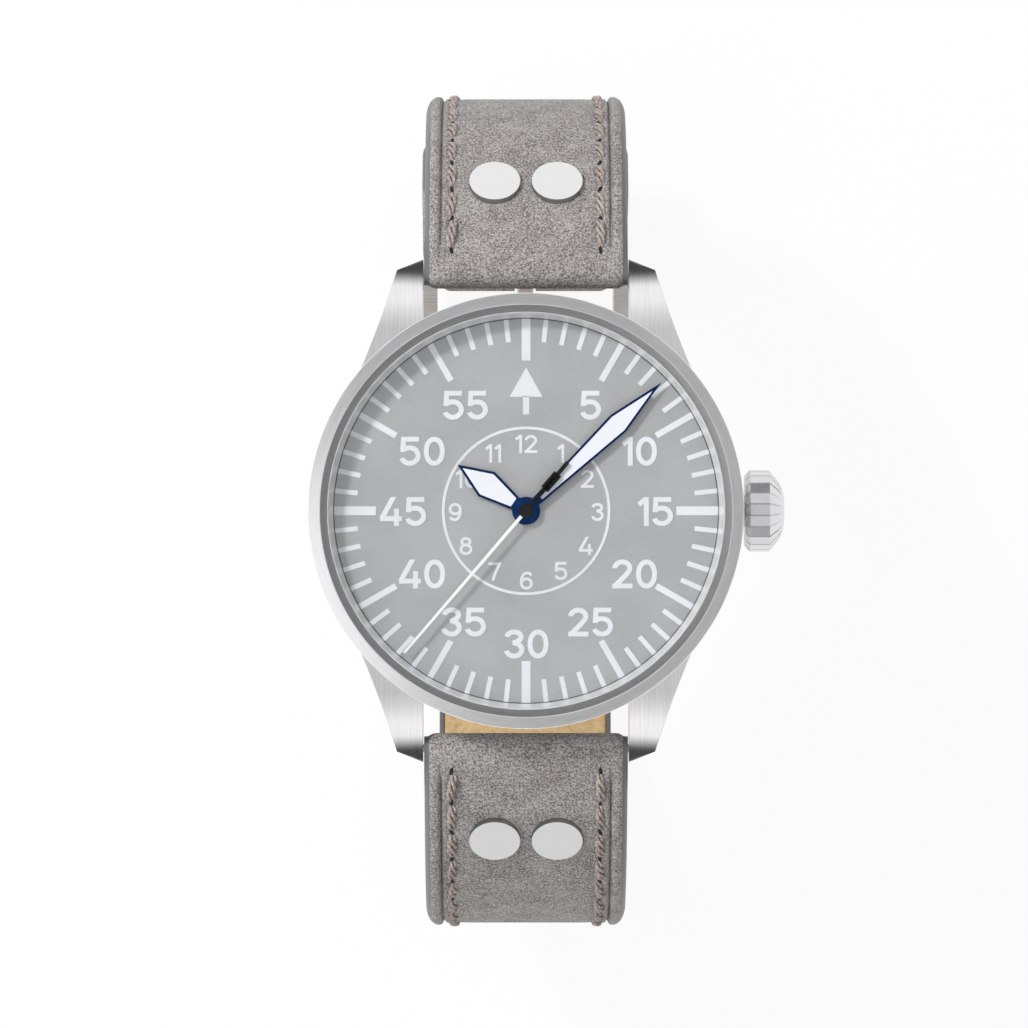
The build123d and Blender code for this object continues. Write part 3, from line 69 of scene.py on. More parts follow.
camera = to_scene("camera", bpy.data.cameras.new("camera"))
camera.data.sensor_width = 36.0
camera.data.lens = 247.6
camera.data.clip_start = 0.05
camera.location = (-1.17 * mm, -0.31 * mm, 745 * mm)
bpy.context.scene.camera = camera
bpy.context.scene.view_settings.view_transform = "Standard"


def add_node(tree, kind, inputs=None, **settings):
    """A shader node with its settings, and its inputs given as values or as sockets."""
    made = tree.nodes.new(kind)
    for name, value in settings.items():
        setattr(made, name, value)
    for name, value in (inputs or {}).items():
        if isinstance(value, bpy.types.NodeSocket):
            tree.links.new(value, made.inputs[name])
        else:
            made.inputs[name].default_value = value
    return made


def calculate(tree, operation, *values):
    """A math node on numbers and sockets, given back as its result."""
    return add_node(tree, "ShaderNodeMath", dict(enumerate(values)), operation=operation).outputs[0]


def new_material(name):
    """An empty node material: the material, its tree and its output."""
    material = bpy.data.materials.new(name)
    material.use_nodes = True
    material.node_tree.nodes.clear()
    return material, material.node_tree, material.node_tree.nodes.new("ShaderNodeOutputMaterial")


def mix_shaders(tree, output, share, first, second):
    """Mixes two shaders by the second one's share and shows the result."""
    mixed = add_node(tree, "ShaderNodeMixShader", {0: share, 1: first.outputs[0], 2: second.outputs[0]})
    tree.links.new(mixed.outputs[0], output.inputs["Surface"])


def to_mesh(bm, name):
    """Writes a bmesh to a new mesh and frees it."""
    mesh = bpy.data.meshes.new(name)
    bm.to_mesh(mesh)
    bm.free()
    return mesh


table_half = 1.5
table_gap = 0.02
white_share = 0.9
table_material, tree, output = new_material("white_table")
rays = add_node(tree, "ShaderNodeLightPath").outputs
seen = calculate(tree, "MAXIMUM", rays["Is Camera Ray"], rays["Is Glossy Ray"])
seen = calculate(tree, "MAXIMUM", seen, rays["Is Transmission Ray"])
paper = add_node(tree, "ShaderNodeBsdfDiffuse", {"Color": (0.92, 0.92, 0.92, 1)})
white = add_node(tree, "ShaderNodeEmission", {"Color": (1, 1, 1, 1), "Strength": 1.0})
mix_shaders(tree, output, calculate(tree, "MULTIPLY", seen, white_share), paper, white)
bm = bmesh.new()
bmesh.ops.create_grid(bm, x_segments=1, y_segments=1, size=table_half)
bmesh.ops.translate(bm, verts=bm.verts, vec=(0, 0, -table_gap * mm))
table_top = to_scene("table_top", to_mesh(bm, "table_top"))
table_top.data.materials.append(table_material)
table_top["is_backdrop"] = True

# The sky's grey from the horizon, 0, to straight up, 1, its two ends first
sky_greys = ((0.0, 1.0), (1.0, 0.63), (0.09, 1.0), (0.2, 0.06), (0.43, 0.06), (0.56, 1.0), (0.69, 1.0), (0.87, 0.62))
world = bpy.data.worlds.new("studio")
bpy.context.scene.world = world
world.use_nodes = True
tree = world.node_tree
tree.nodes.clear()
direction = add_node(tree, "ShaderNodeTexCoord").outputs["Generated"]
height = add_node(tree, "ShaderNodeSeparateXYZ", {0: direction}).outputs["Z"]
sky = add_node(tree, "ShaderNodeValToRGB", {"Fac": height})
stops = sky.color_ramp.elements
for level, grey in sky_greys:
    stop = stops[round(level)] if level in (0.0, 1.0) else stops.new(level)
    stop.color = (grey, grey, grey, 1)
background = add_node(tree, "ShaderNodeBackground", {"Color": sky.outputs[0], "Strength": 1.0})
add_node(tree, "ShaderNodeOutputWorld", {"Surface": background.outputs[0]})

watch_middle = Vector((0, 0, 0.05))


def add_lamp(name, place, size, power, mirrored):
    """A square soft lamp that faces the watch, and whether polished steel mirrors it."""
    lamp = to_scene(name, bpy.data.lights.new(name, "AREA"))
    lamp.data.shape = "SQUARE"
    lamp.data.size = size
    lamp.data.energy = power
    lamp.location = place
    lamp.rotation_euler = (watch_middle - Vector(place)).to_track_quat("-Z", "Y").to_euler()
    lamp.visible_glossy = mirrored


add_lamp("key_lamp", (-0.34, 0.3, 0.55), 0.1, 2.5, False)
add_lamp("side_lamp", (-0.5, -0.2, 0.33), 0.7, 0.95, True)

# Case. The case is turned and milled from one bar of steel: a round band with four lugs that
# curve down to the spring bars. It is brushed along the strap, and its edges are broken.


def node_group(name, *results):
    """An empty node group that takes a vector and a fineness: its tree, both of them, and its exit."""
    group = bpy.data.node_groups.new(name, "ShaderNodeTree")
    for title, kind in (("Vector", "NodeSocketVector"), ("Fineness", "NodeSocketFloat")):
        group.interface.new_socket(name=title, in_out="INPUT", socket_type=kind)
    for title in results:
        group.interface.new_socket(name=title, in_out="OUTPUT", socket_type="NodeSocketFloat")
    entry = group.nodes.new("NodeGroupInput").outputs
    return group, entry["Vector"], entry["Fineness"], group.nodes.new("NodeGroupOutput").inputs


def noise(tree, vector, scale, detail=2.0, roughness=0.5):
    """A noise texture along a vector, given back as its value."""
    inputs = {"Vector": vector, "Scale": scale, "Detail": detail, "Roughness": roughness}
    return add_node(tree, "ShaderNodeTexNoise", inputs).outputs[0]


def marks_group(name, vector_of=None):
    """A group of fine scratches and a wider haze, along its vector or along what is made of it."""
    group, vector, fineness, leave = node_group(name, "Marks", "Haze")
    if vector_of:
        vector = vector_of(group, vector)
    haze_share = 0.12
    wide = calculate(group, "MULTIPLY", fineness, haze_share)
    group.links.new(noise(group, vector, fineness, detail=4.0, roughness=0.75), leave["Marks"])
    group.links.new(noise(group, vector, wide), leave["Haze"])
    return group


def spread(tree, value, start=(0.0, 1.0), end=(0.0, 1.0)):
    """Maps a value from one range to another."""
    inputs = {"Value": value, "From Min": start[0], "From Max": start[1], "To Min": end[0], "To Max": end[1]}
    return add_node(tree, "ShaderNodeMapRange", inputs).outputs[0]


def colours(tree, share, *steps):
    """A colour that runs evenly through its steps with a share."""
    ramp = add_node(tree, "ShaderNodeValToRGB", {"Fac": share})
    stops = ramp.color_ramp.elements
    for stop, colour in zip(stops, (steps[0], steps[-1])):
        stop.color = (*colour, 1)
    for index, colour in enumerate(steps[1:-1], 1):
        stops.new(index / (len(steps) - 1)).color = (*colour, 1)
    return ramp.outputs[0]


def relief(tree, height, strength, depth):
    """A normal that follows a height, over a depth in millimetres."""
    inputs = {"Strength": strength, "Distance": depth * mm, "Height": height}
    return add_node(tree, "ShaderNodeBump", inputs).outputs[0]


def surface(tree, output, inputs):
    """Shows a Principled surface with these inputs."""
    shader = add_node(tree, "ShaderNodeBsdfPrincipled", inputs)
    tree.links.new(shader.outputs[0], output.inputs["Surface"])
    return shader


def metal(
    name, dark, light, rough, marks, fineness, stretch=(1, 1, 1), anisotropy=0.0, bump=0.02, metallic=1.0, mottle=0.2
):
    """A metal whose colour, roughness and relief follow the marks of a group, stretched by three factors."""
    material, tree, output = new_material(name)
    place = add_node(tree, "ShaderNodeTexCoord").outputs["Object"]
    place = add_node(tree, "ShaderNodeMapping", {"Vector": place, "Scale": stretch}).outputs[0]
    made = add_node(tree, "ShaderNodeGroup", {"Vector": place, "Fineness": fineness}, node_tree=marks).outputs
    tone = add_node(tree, "ShaderNodeMix", {0: mottle, 2: made["Marks"], 3: made["Haze"]}, data_type="FLOAT")
    shader = surface(
        tree,
        output,
        {
            "Base Color": colours(tree, spread(tree, tone.outputs[0], start=(0.34, 0.66)), dark, light),
            "Metallic": metallic,
            "Roughness": spread(tree, made["Marks"], end=(rough * 0.75, rough * 1.25)),
            "Normal": relief(tree, made["Marks"], strength=0.6, depth=bump),
            "Anisotropic": anisotropy,
        },
    )
    if anisotropy:
        along = add_node(tree, "ShaderNodeTangent", direction_type="RADIAL", axis="Z")
        tree.links.new(along.outputs[0], shader.inputs["Tangent"])
    return material


def cad_copy(node):
    """The CAD node's shape as a bmesh, its loose triangles joined."""
    bm = bmesh.new()
    bm.from_mesh(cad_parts[node].data)
    bmesh.ops.remove_doubles(bm, verts=bm.verts, dist=1e-6)
    bmesh.ops.dissolve_limit(bm, angle_limit=0.01, verts=bm.verts, edges=bm.edges)
    return bm


def soften(bm, width, segments=2, angle=35):
    """Rounds the edges that are sharper than an angle, by a width in millimetres."""
    sharp = [edge for edge in bm.edges if edge.is_manifold and edge.calc_face_angle(0) > math.radians(angle)]
    bmesh.ops.bevel(
        bm,
        geom=sharp,
        offset=width * mm,
        offset_type="OFFSET",
        segments=segments,
        profile=0.5,
        affect="EDGES",
        clamp_overlap=True,
        material=-1,
    )


def make_piece(name, bm, materials, body, replaces=(), sharp=35, weighted=True):
    """Makes a piece from a bmesh: smooth shading, its materials and the body that it rides on."""
    bmesh.ops.recalc_face_normals(bm, faces=bm.faces)
    piece = to_scene(name, to_mesh(bm, name))
    piece.data.shade_smooth()
    piece.data.set_sharp_from_angle(angle=math.radians(sharp))
    for material in materials:
        piece.data.materials.append(material)
    if weighted:
        piece.modifiers.new("even_shading", "WEIGHTED_NORMAL").keep_sharp = True
    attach(piece, body)
    if replaces:
        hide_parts(*replaces)
    return piece


brush_marks = marks_group("brush_marks")
brushed_case = metal(
    "brushed_case", (0.79, 0.79, 0.79), (0.92, 0.92, 0.92), 0.1, brush_marks, 9000.0, (1, 0.015, 0.05), bump=0.0018
)
bm = cad_copy("case_body")
soften(bm, 0.22, segments=3, angle=30)
make_piece("case_shell", bm, [brushed_case], "case", ["case_body"])

# Bezel. A turned steel ring, pressed over the neck of the case. Its slope is brushed round,
# and a darker bevel runs down to the crystal.


def turned(profile, steps=240):
    """A closed section, as radius and height in millimetres, turned round the Z axis."""
    bm = bmesh.new()
    corners = [bm.verts.new((radius * mm, 0, height * mm)) for radius, height in profile]
    edges = [bm.edges.new(pair) for pair in zip(corners, corners[1:] + corners[:1])]
    bmesh.ops.spin(
        bm, geom=corners + edges, cent=(0, 0, 0), axis=(0, 0, 1), angle=math.tau, steps=steps, use_merge=True
    )
    bmesh.ops.remove_doubles(bm, verts=bm.verts, dist=1e-7)
    return bm


def second_finish(bm, radius, low, high):
    """Gives the second material to the faces within a radius and between two heights, in millimetres."""
    for face in bm.faces:
        middle = face.calc_center_median()
        if low * mm < middle.z < high * mm and math.hypot(middle.x, middle.y) < radius * mm:
            face.material_index = 1


def round_the_axis(tree, vector):
    """The vector made radius, a slow angle and height, so that scratches run round the Z axis."""
    parts = add_node(tree, "ShaderNodeSeparateXYZ", {0: vector}).outputs
    flat = add_node(tree, "ShaderNodeCombineXYZ", {"X": parts["X"], "Y": parts["Y"]}).outputs[0]
    radius = add_node(tree, "ShaderNodeVectorMath", {0: flat}, operation="LENGTH").outputs["Value"]
    angle_share = 0.0006
    slow = calculate(tree, "MULTIPLY", calculate(tree, "ARCTAN2", parts["Y"], parts["X"]), angle_share)
    return add_node(tree, "ShaderNodeCombineXYZ", {"X": radius, "Y": slow, "Z": parts["Z"]}).outputs[0]


turning_marks = marks_group("turning_marks", round_the_axis)
brushed_bezel = metal(
    "brushed_bezel", (0.84, 0.84, 0.85), (0.98, 0.98, 0.99), 0.36, turning_marks, 9000.0, anisotropy=0.75
)
# The bevel down to the crystal is given a darker copy of the bezel's steel.
darker_bevel_steel = metal(
    "darker_bevel_steel", (0.36, 0.36, 0.365), (0.46, 0.46, 0.465), 0.5, brush_marks, 9000.0, bump=0.01
)
bezel_section = [
    (19.4, 60.93),
    (20.9, 60.93),
    (21.0, 61.03),
    (21.0, 64.2),
    (20.94, 64.29),
    (19.92, 64.87),
    (19.84, 64.87),
    (19.2, 64.44),
    (19.14, 64.36),
    (19.14, 64.0),
    (19.4, 63.9),
]
bm = turned(bezel_section)
second_finish(bm, radius=19.83, low=64.2, high=65)
make_piece("bezel_ring", bm, [brushed_bezel, darker_bevel_steel], "case", ["bezel"], sharp=15)

# Crystal. The crystal is ground from clear sapphire, flat underneath and domed on top, with a
# small bevel at its edge. A nylon gasket holds it in the bezel.
crystal_radius, crystal_low, crystal_side = 19.1, 63.41, 64.5
dome_top, dome_drop, dome_radius, dome_steps = 65.82, 1.02, 18.8, 24
clear_tint = (0.985, 0.99, 0.99, 1)

# The glass bends the light little, and lets the lamps through to what lies under it
crystal_clear, tree, output = new_material("crystal_clear")
film = noise(tree, add_node(tree, "ShaderNodeTexCoord").outputs["Object"], scale=300.0)
glass = add_node(
    tree,
    "ShaderNodeBsdfPrincipled",
    {
        "Base Color": clear_tint,
        "Roughness": spread(tree, film, end=(0.0, 0.01)),
        "IOR": 1.04,
        "Transmission Weight": 1.0,
        "Coat Weight": 0.15,
        "Coat Roughness": 0.0,
    },
)
clear = add_node(tree, "ShaderNodeBsdfTransparent", {"Color": clear_tint})
rays = add_node(tree, "ShaderNodeLightPath").outputs
through = calculate(tree, "MAXIMUM", rays["Is Shadow Ray"], rays["Is Diffuse Ray"])
mix_shaders(tree, output, through, glass, clear)

dome = []
for step in range(dome_steps + 1):
    radius = dome_radius * step / dome_steps
    dome.append((radius, dome_top - dome_drop * (radius / crystal_radius) ** 2))
bm = turned([(0, crystal_low), (crystal_radius, crystal_low), (crystal_radius, crystal_side)] + dome[::-1], steps=180)
make_piece("domed_crystal", bm, [crystal_clear], "case", ["crystal"], sharp=25, weighted=False)


def plain_finish(name, dark, light, rough, fineness, metallic=0.0, bump=0.01, specular=0.5):
    """A plain paint, plastic or plated finish with a fine grain and a slight cloud."""
    material, tree, output = new_material(name)
    place = add_node(tree, "ShaderNodeTexCoord").outputs["Object"]
    grain_share, cloud_scale = 0.7, 0.05
    grain = noise(tree, place, fineness, detail=3.0)
    tone = calculate(tree, "MULTIPLY_ADD", grain, grain_share, noise(tree, place, fineness * cloud_scale))
    surface(
        tree,
        output,
        {
            "Base Color": colours(tree, spread(tree, tone, start=(0.6, 1.1)), dark, light),
            "Metallic": metallic,
            "Roughness": spread(tree, grain, end=(rough * 0.85, rough * 1.15)),
            "Normal": relief(tree, grain, strength=0.5, depth=bump),
            "Specular IOR Level": specular,
        },
    )
    return material


def dress(material, *nodes):
    """Gives CAD nodes that keep their own shape a finish."""
    for node in nodes:
        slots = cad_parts[node].data.materials
        slots.clear()
        slots.append(material)


nylon = plain_finish("gasket_nylon", (0.5, 0.5, 0.49), (0.62, 0.62, 0.6), 0.5, 2500.0)
dress(nylon, "crystal_gasket")

# Flange. A polished steel ring between crystal and dial. It leans outwards and mirrors the
# outer ends of the dial's strokes, and the shadow line round its foot is painted near-black.
polished_steel = metal(
    "polished_steel", (0.82, 0.82, 0.83), (0.92, 0.92, 0.93), 0.3, turning_marks, 5000.0, bump=0.002, metallic=0.5
)
flange_foot_painted_shadow = plain_finish("flange_foot_painted_shadow", (0.08, 0.08, 0.08), (0.14, 0.14, 0.14), 0.5, 4000.0)
bm = turned([(18.52, 61.92), (19.34, 61.92), (19.34, 63.4), (19.02, 63.4), (18.98, 63.3), (18.63, 62.12)])
# The foot gets the second finish: a painted shadow, near-black, where the flange meets the dial.
second_finish(bm, radius=18.62, low=61, high=62.1)
make_piece("flange_band", bm, [polished_steel, flange_foot_painted_shadow], "case", ["flange_ring"], sharp=20)

# Dial. The dial is a brass disc, lacquered in a satin silver grey with a fine grain.
# It lies on the neck of the case, under the flange.
dial_lacquer = plain_finish(
    "dial_lacquer", (0.395, 0.397, 0.405), (0.455, 0.457, 0.465), 0.42, 3800.0, metallic=0.25, bump=0.012
)
dress(dial_lacquer, "dial")

# Dial print. Strokes, arrow, circle and numerals are printed on the dial in thick white paint.
# The quarter strokes are the widest, and all strokes run out under the flange.
print_white = plain_finish("print_white", (0.72, 0.72, 0.75), (0.79, 0.79, 0.83), 0.55, 6000.0, bump=0.006)
print_depth = 0.05
print_low = 61.906
print_top = print_low + print_depth
long_start, short_start, stroke_end = 14.5, 16.35, 18.56
quarter_width, five_width, minute_width = 0.86, 0.6, 0.47
arrow_stem = (9.3, 11.05)
arrow_head = ((-1.6, 11.0), (1.6, 11.0), (0, 13.85))
circle_inner, circle_outer = 7.865, 8.135


def add_bar(bm, width, start, end, low, depth, angle=0):
    """A flat bar along Y between two places, turned clockwise by an angle."""
    shape = Matrix.Rotation(-math.radians(angle), 4, "Z")
    shape = shape @ Matrix.Translation((0, (start + end) / 2 * mm, (low + depth / 2) * mm))
    shape = shape @ Matrix.Diagonal((width * mm, (end - start) * mm, depth * mm, 1))
    bmesh.ops.create_cube(bm, size=1, matrix=shape)


def thicken(bm, faces, depth):
    """Gives flat faces a thickness upwards."""
    raised = bmesh.ops.extrude_face_region(bm, geom=faces)["geom"]
    raised = [item for item in raised if isinstance(item, bmesh.types.BMVert)]
    bmesh.ops.translate(bm, verts=raised, vec=(0, 0, depth * mm))
    bmesh.ops.recalc_face_normals(bm, faces=bm.faces)


bm = bmesh.new()
for minute in range(60):
    width, start = minute_width, short_start
    if minute % 5 == 0:
        width, start = five_width if minute % 15 else quarter_width, long_start
    add_bar(bm, width, start, stroke_end, print_low, print_depth, angle=minute * 6)
add_bar(bm, five_width, *arrow_stem, print_low, print_depth)
head = bm.faces.new([bm.verts.new((x * mm, y * mm, print_low * mm)) for x, y in arrow_head])
thicken(bm, [head], print_depth)
make_piece("dial_strokes", bm, [print_white], "case", weighted=False)

circle_section = [(circle_inner, print_low), (circle_outer, print_low)]
circle_section += [(circle_outer, print_top), (circle_inner, print_top)]
bm = turned(circle_section, steps=144)
make_piece("dial_hour_circle", bm, [print_white], "case", weighted=False)

# The numerals' middles on the dial, the minutes' round the edge and the hours' inside the circle
minute_numerals = {
    "5": (6.23, 10.19),
    "10": (10.93, 5.75),
    "15": (12.48, -0.07),
    "20": (10.46, -6.1),
    "25": (6.21, -10.74),
    "30": (0.03, -12.86),
    "35": (-6.01, -10.74),
    "40": (-10.06, -6.1),
    "45": (-11.9, -0.07),
    "50": (-10.03, 5.75),
    "55": (-5.86, 10.19),
}
hour_numerals = {
    "12": (0.03, 6.45),
    "1": (3.36, 5.54),
    "2": (5.92, 3.09),
    "3": (6.89, -0.11),
    "4": (5.75, -3.38),
    "5": (3.36, -5.81),
    "6": (0.03, -6.74),
    "7": (-3.02, -5.85),
    "8": (-5.81, -3.4),
    "9": (-6.85, -0.12),
    "10": (-5.72, 3.07),
    "11": (-3.16, 5.53),
}

# Each digit's strokes in a box of height one: whether the line closes, and its bends with
# the handle that it leaves them by
digit_strokes = {
    "0": ((True, (0.36, 0.916, 0.16, 0), (0.636, 0.5, 0, -0.25), (0.36, 0.084, -0.16, 0), (0.084, 0.5, 0, 0.25)),),
    "1": ((False, (0.291, 1.02, 0, 0), (0.291, -0.02, 0, 0)), (False, (0.03, 0.735, 0, 0), (0.26, 0.93, 0, 0))),
    "2": (
        (False, (0.09, 0.7, 0.01, 0.1), (0.36, 0.916, 0.15, 0), (0.622, 0.69, 0, -0.11), (0.12, 0.1, -0.2, -0.2)),
        (False, (0.01, 0.084, 0, 0), (0.71, 0.084, 0, 0)),
    ),
    "3": (
        (False, (0.085, 0.75, 0.03, 0.1), (0.345, 0.916, 0.13, 0), (0.58, 0.735, 0, -0.1), (0.28, 0.545, -0.12, 0)),
        (False, (0.28, 0.545, 0.18, 0), (0.606, 0.315, 0, -0.13), (0.34, 0.084, -0.14, 0), (0.07, 0.27, -0.03, 0.1)),
    ),
    "4": (
        (False, (0.515, 1.06, 0, 0), (0.07, 0.25, 0, 0)),
        (False, (0.02, 0.255, 0, 0), (0.77, 0.255, 0, 0)),
        (False, (0.585, -0.02, 0, 0), (0.585, 0.6, 0, 0)),
    ),
    "5": (
        (False, (0.09, 0.916, 0, 0), (0.66, 0.916, 0, 0)),
        (False, (0.14, 0.99, 0, 0), (0.105, 0.47, 0, 0)),
        (
            False,
            (0.12, 0.54, 0.08, 0.06),
            (0.36, 0.615, 0.15, 0),
            (0.636, 0.345, 0, -0.15),
            (0.35, 0.084, -0.14, 0),
            (0.08, 0.26, -0.03, 0.09),
        ),
    ),
    "6": (
        (True, (0.36, 0.6, 0.15, 0), (0.636, 0.342, 0, -0.14), (0.36, 0.084, -0.15, 0), (0.084, 0.342, 0, 0.14)),
        (False, (0.61, 0.77, -0.04, 0.1), (0.37, 0.916, -0.17, 0), (0.084, 0.5, 0, -0.16), (0.084, 0.34, 0, -0.02)),
    ),
    "7": (
        (False, (0.01, 0.916, 0, 0), (0.7, 0.916, 0, 0)),
        (False, (0.64, 0.93, -0.06, -0.1), (0.25, -0.04, -0.05, -0.3)),
    ),
    "8": (
        (True, (0.36, 0.916, 0.12, 0), (0.58, 0.735, 0, -0.1), (0.36, 0.554, -0.12, 0), (0.14, 0.735, 0, 0.1)),
        (True, (0.36, 0.554, 0.15, 0), (0.636, 0.319, 0, -0.13), (0.36, 0.084, -0.15, 0), (0.084, 0.319, 0, 0.13)),
    ),
}
digit_width, digit_gap = 0.72, 0.115
odd_widths = {"1": 0.375, "4": 0.77, "3": 0.69}
digit_strokes["9"] = tuple(
    (closed, *((digit_width - x, 1 - y, -dx, -dy) for x, y, dx, dy in bends)) for closed, *bends in digit_strokes["6"]
)
stroke_lift = 0.0015


def drawn_curve(name):
    """A flat curve object, to be filled with splines."""
    drawn = to_scene(name, bpy.data.curves.new(name, "CURVE"))
    drawn.data.dimensions = "2D"
    drawn.data.resolution_u = 8
    return drawn


def add_numeral(bm, digits, place, height, weight):
    """A numeral of one line width, its middle at a place on the dial."""
    pen = drawn_curve("pen")
    nib = pen.data.splines.new("POLY")
    nib.points.add(3)
    nib.use_cyclic_u = True
    depth = print_depth / height
    for point, (x, y) in zip(nib.points, ((-1, -1), (1, -1), (1, 1), (-1, 1))):
        point.co = (x * weight / 2, y * depth / 2, 0, 1)
    drawn = drawn_curve("numeral")
    line = drawn.data
    line.dimensions = "3D"
    line.twist_mode = "Z_UP"
    line.bevel_mode = "OBJECT"
    line.bevel_object = pen
    line.use_fill_caps = True
    start = 0.0
    for digit in digits:
        for closed, *bends in digit_strokes[digit]:
            spline = line.splines.new("BEZIER")
            spline.bezier_points.add(len(bends) - 1)
            spline.use_cyclic_u = closed
            lift = len(line.splines) * stroke_lift
            for point, (x, y, dx, dy) in zip(spline.bezier_points, bends):
                point.co = (start + x, y, lift)
                point.handle_right = (start + x + dx, y + dy, lift)
                point.handle_left = (start + x - dx, y - dy, lift)
        start += odd_widths.get(digit, digit_width) + digit_gap
    width = start - digit_gap
    bpy.context.view_layer.update()
    mesh = bpy.data.meshes.new_from_object(drawn.evaluated_get(bpy.context.evaluated_depsgraph_get()))
    numeral = bmesh.new()
    numeral.from_mesh(mesh)
    for end in (-1, 1):
        trimmed = bmesh.ops.bisect_plane(
            numeral,
            geom=numeral.verts[:] + numeral.edges[:] + numeral.faces[:],
            plane_co=(0, (1 + end) / 2, 0),
            plane_no=(0, end, 0),
            clear_outer=True,
        )
        edges = [item for item in trimmed["geom_cut"] if isinstance(item, bmesh.types.BMEdge)]
        bmesh.ops.holes_fill(numeral, edges=edges, sides=0)
    move = Matrix.Translation((place[0] * mm, place[1] * mm, (print_low + print_depth / 2) * mm))
    move = move @ Matrix.Scale(height * mm, 4) @ Matrix.Translation((-width / 2, -0.5, 0))
    bmesh.ops.transform(numeral, matrix=move, verts=numeral.verts)
    numeral.to_mesh(mesh)
    numeral.free()
    bm.from_mesh(mesh)
    bpy.data.meshes.remove(mesh)
    for curve in (line, pen.data):
        bpy.data.curves.remove(curve)


# Each set of numerals with its height and the width of its line
bm = bmesh.new()
for numerals, height, weight in ((minute_numerals, 2.8, 0.172), (hour_numerals, 1.78, 0.15)):
    for digits, place in numerals.items():
        add_numeral(bm, digits, place, height, weight)
make_piece("dial_numerals", bm, [print_white], "case", weighted=False)

# Hour and minute hands. Both hands are stamped from steel, polished, blued by heat and pierced, and their
# windows hold white luminous paste. Each sits on the tube of its wheel with a collar.
blued_steel = metal("blued_steel", (0.0, 0.014, 0.08), (0.001, 0.035, 0.16), 0.22, brush_marks, 6000.0, bump=0.003)
lume_paste = plain_finish("lume_paste", (0.8, 0.81, 0.86), (0.87, 0.88, 0.93), 0.6, 5000.0)
hand_depth, filling_depth, hand_edge = 0.13, 0.1, 0.035
near_middle = 0.05


def blade_and_window(length, wide, wide_at, neck, window_start, window_end, rim_width):
    """Two flat shapes along Y: the blade's frame, and the window inside it."""
    frame_bm = bmesh.new()
    outline = ((-neck, 0), (neck, 0), (wide, wide_at), (0, length), (-wide, wide_at))
    frame_bm.faces.new([frame_bm.verts.new((x * mm, y * mm, 0)) for x, y in outline])
    frame_bm.normal_update()
    bmesh.ops.inset_region(
        frame_bm, faces=frame_bm.faces[:], thickness=rim_width * mm, use_boundary=True, use_even_offset=True
    )
    for height in (window_start, window_end):
        bmesh.ops.bisect_plane(
            frame_bm,
            geom=frame_bm.verts[:] + frame_bm.edges[:] + frame_bm.faces[:],
            plane_co=(0, height * mm, 0),
            plane_no=(0, 1, 0),
        )
    window = []
    for face in frame_bm.faces:
        x, y, _ = face.calc_center_median() / mm
        inside = abs(x) < near_middle and window_start < y < window_end
        if inside and not any(edge.is_boundary for edge in face.edges):
            window.append(face)
    window_bm = bmesh.new()
    for face in window:
        window_bm.faces.new([window_bm.verts.new(vertex.co) for vertex in face.verts])
    bmesh.ops.delete(frame_bm, geom=window, context="FACES")
    return frame_bm, window_bm


def add_collar(bm, profile, steps=64):
    """Adds a turned collar, given as radius and height."""
    collar = to_mesh(turned(profile, steps), "collar")
    bm.from_mesh(collar)
    bpy.data.meshes.remove(collar)


def hand_turn(level, angle):
    """A hand's place over the dial: its height, and its angle clockwise from twelve."""
    return Matrix.Translation((0, 0, level * mm)) @ Matrix.Rotation(-math.radians(angle), 4, "Z")


def make_hand(hand, body, level, angle, blade, collar):
    """A pierced hand and its filling."""
    frame_bm, window_bm = blade_and_window(*blade)
    thicken(frame_bm, frame_bm.faces[:], hand_depth)
    soften(frame_bm, hand_edge, angle=50)
    add_collar(frame_bm, collar)
    thicken(window_bm, window_bm.faces[:], filling_depth)
    for bm in (frame_bm, window_bm):
        bmesh.ops.transform(bm, matrix=hand_turn(level, angle), verts=bm.verts)
    make_piece(f"{hand}_frame", frame_bm, [blued_steel], body, [hand])
    make_piece(f"{hand}_filling", window_bm, [lume_paste], body, [f"{hand}_lume"])


# Each blade's length, greatest half width and where that is, half neck, window from and to, and rim
hour_blade = (8.0, 1.42, 4.6, 0.4, 1.45, 7.7, 0.24)
hour_collar = [(0.62, 0.0), (1.35, 0.0), (1.35, 0.11), (1.28, 0.16), (0.62, 0.16)]
make_hand("hour_hand", "hour_work", 62.258, 303.9, hour_blade, hour_collar)
minute_blade = (18.0, 1.1, 12.26, 0.38, 1.9, 16.9, 0.22)
minute_collar = [(0.42, 0.0), (1.2, 0.0), (1.2, 0.12), (1.12, 0.17), (0.42, 0.17)]
make_hand("minute_hand", "minute_work", 62.658, 46.5, minute_blade, minute_collar)

# Seconds hand. A thin needle, lacquered white in front and black behind, where a block balances it.
# Its black hub sits on the end of the fourth wheel's arbor.
white_lacquer = plain_finish("white_lacquer", (0.84, 0.84, 0.87), (0.9, 0.9, 0.92), 0.4, 5000.0)
black_lacquer = plain_finish(
    "black_lacquer", (0.004, 0.004, 0.005), (0.012, 0.012, 0.013), 0.6, 5000.0, specular=0.1
)
seconds_turn = hand_turn(63.058, 220.65)
needle_edge = 0.03
needle_middle, tip_share = 9, 0.72

bm = bmesh.new()
add_bar(bm, width=0.34, start=0.35, end=18.05, low=0.0, depth=0.12)
for vertex in bm.verts:
    if vertex.co.y > needle_middle * mm:
        vertex.co.x *= tip_share
soften(bm, needle_edge, angle=50)
bmesh.ops.transform(bm, matrix=seconds_turn, verts=bm.verts)
make_piece("seconds_needle", bm, [white_lacquer], "seconds_work", ["seconds_hand"])

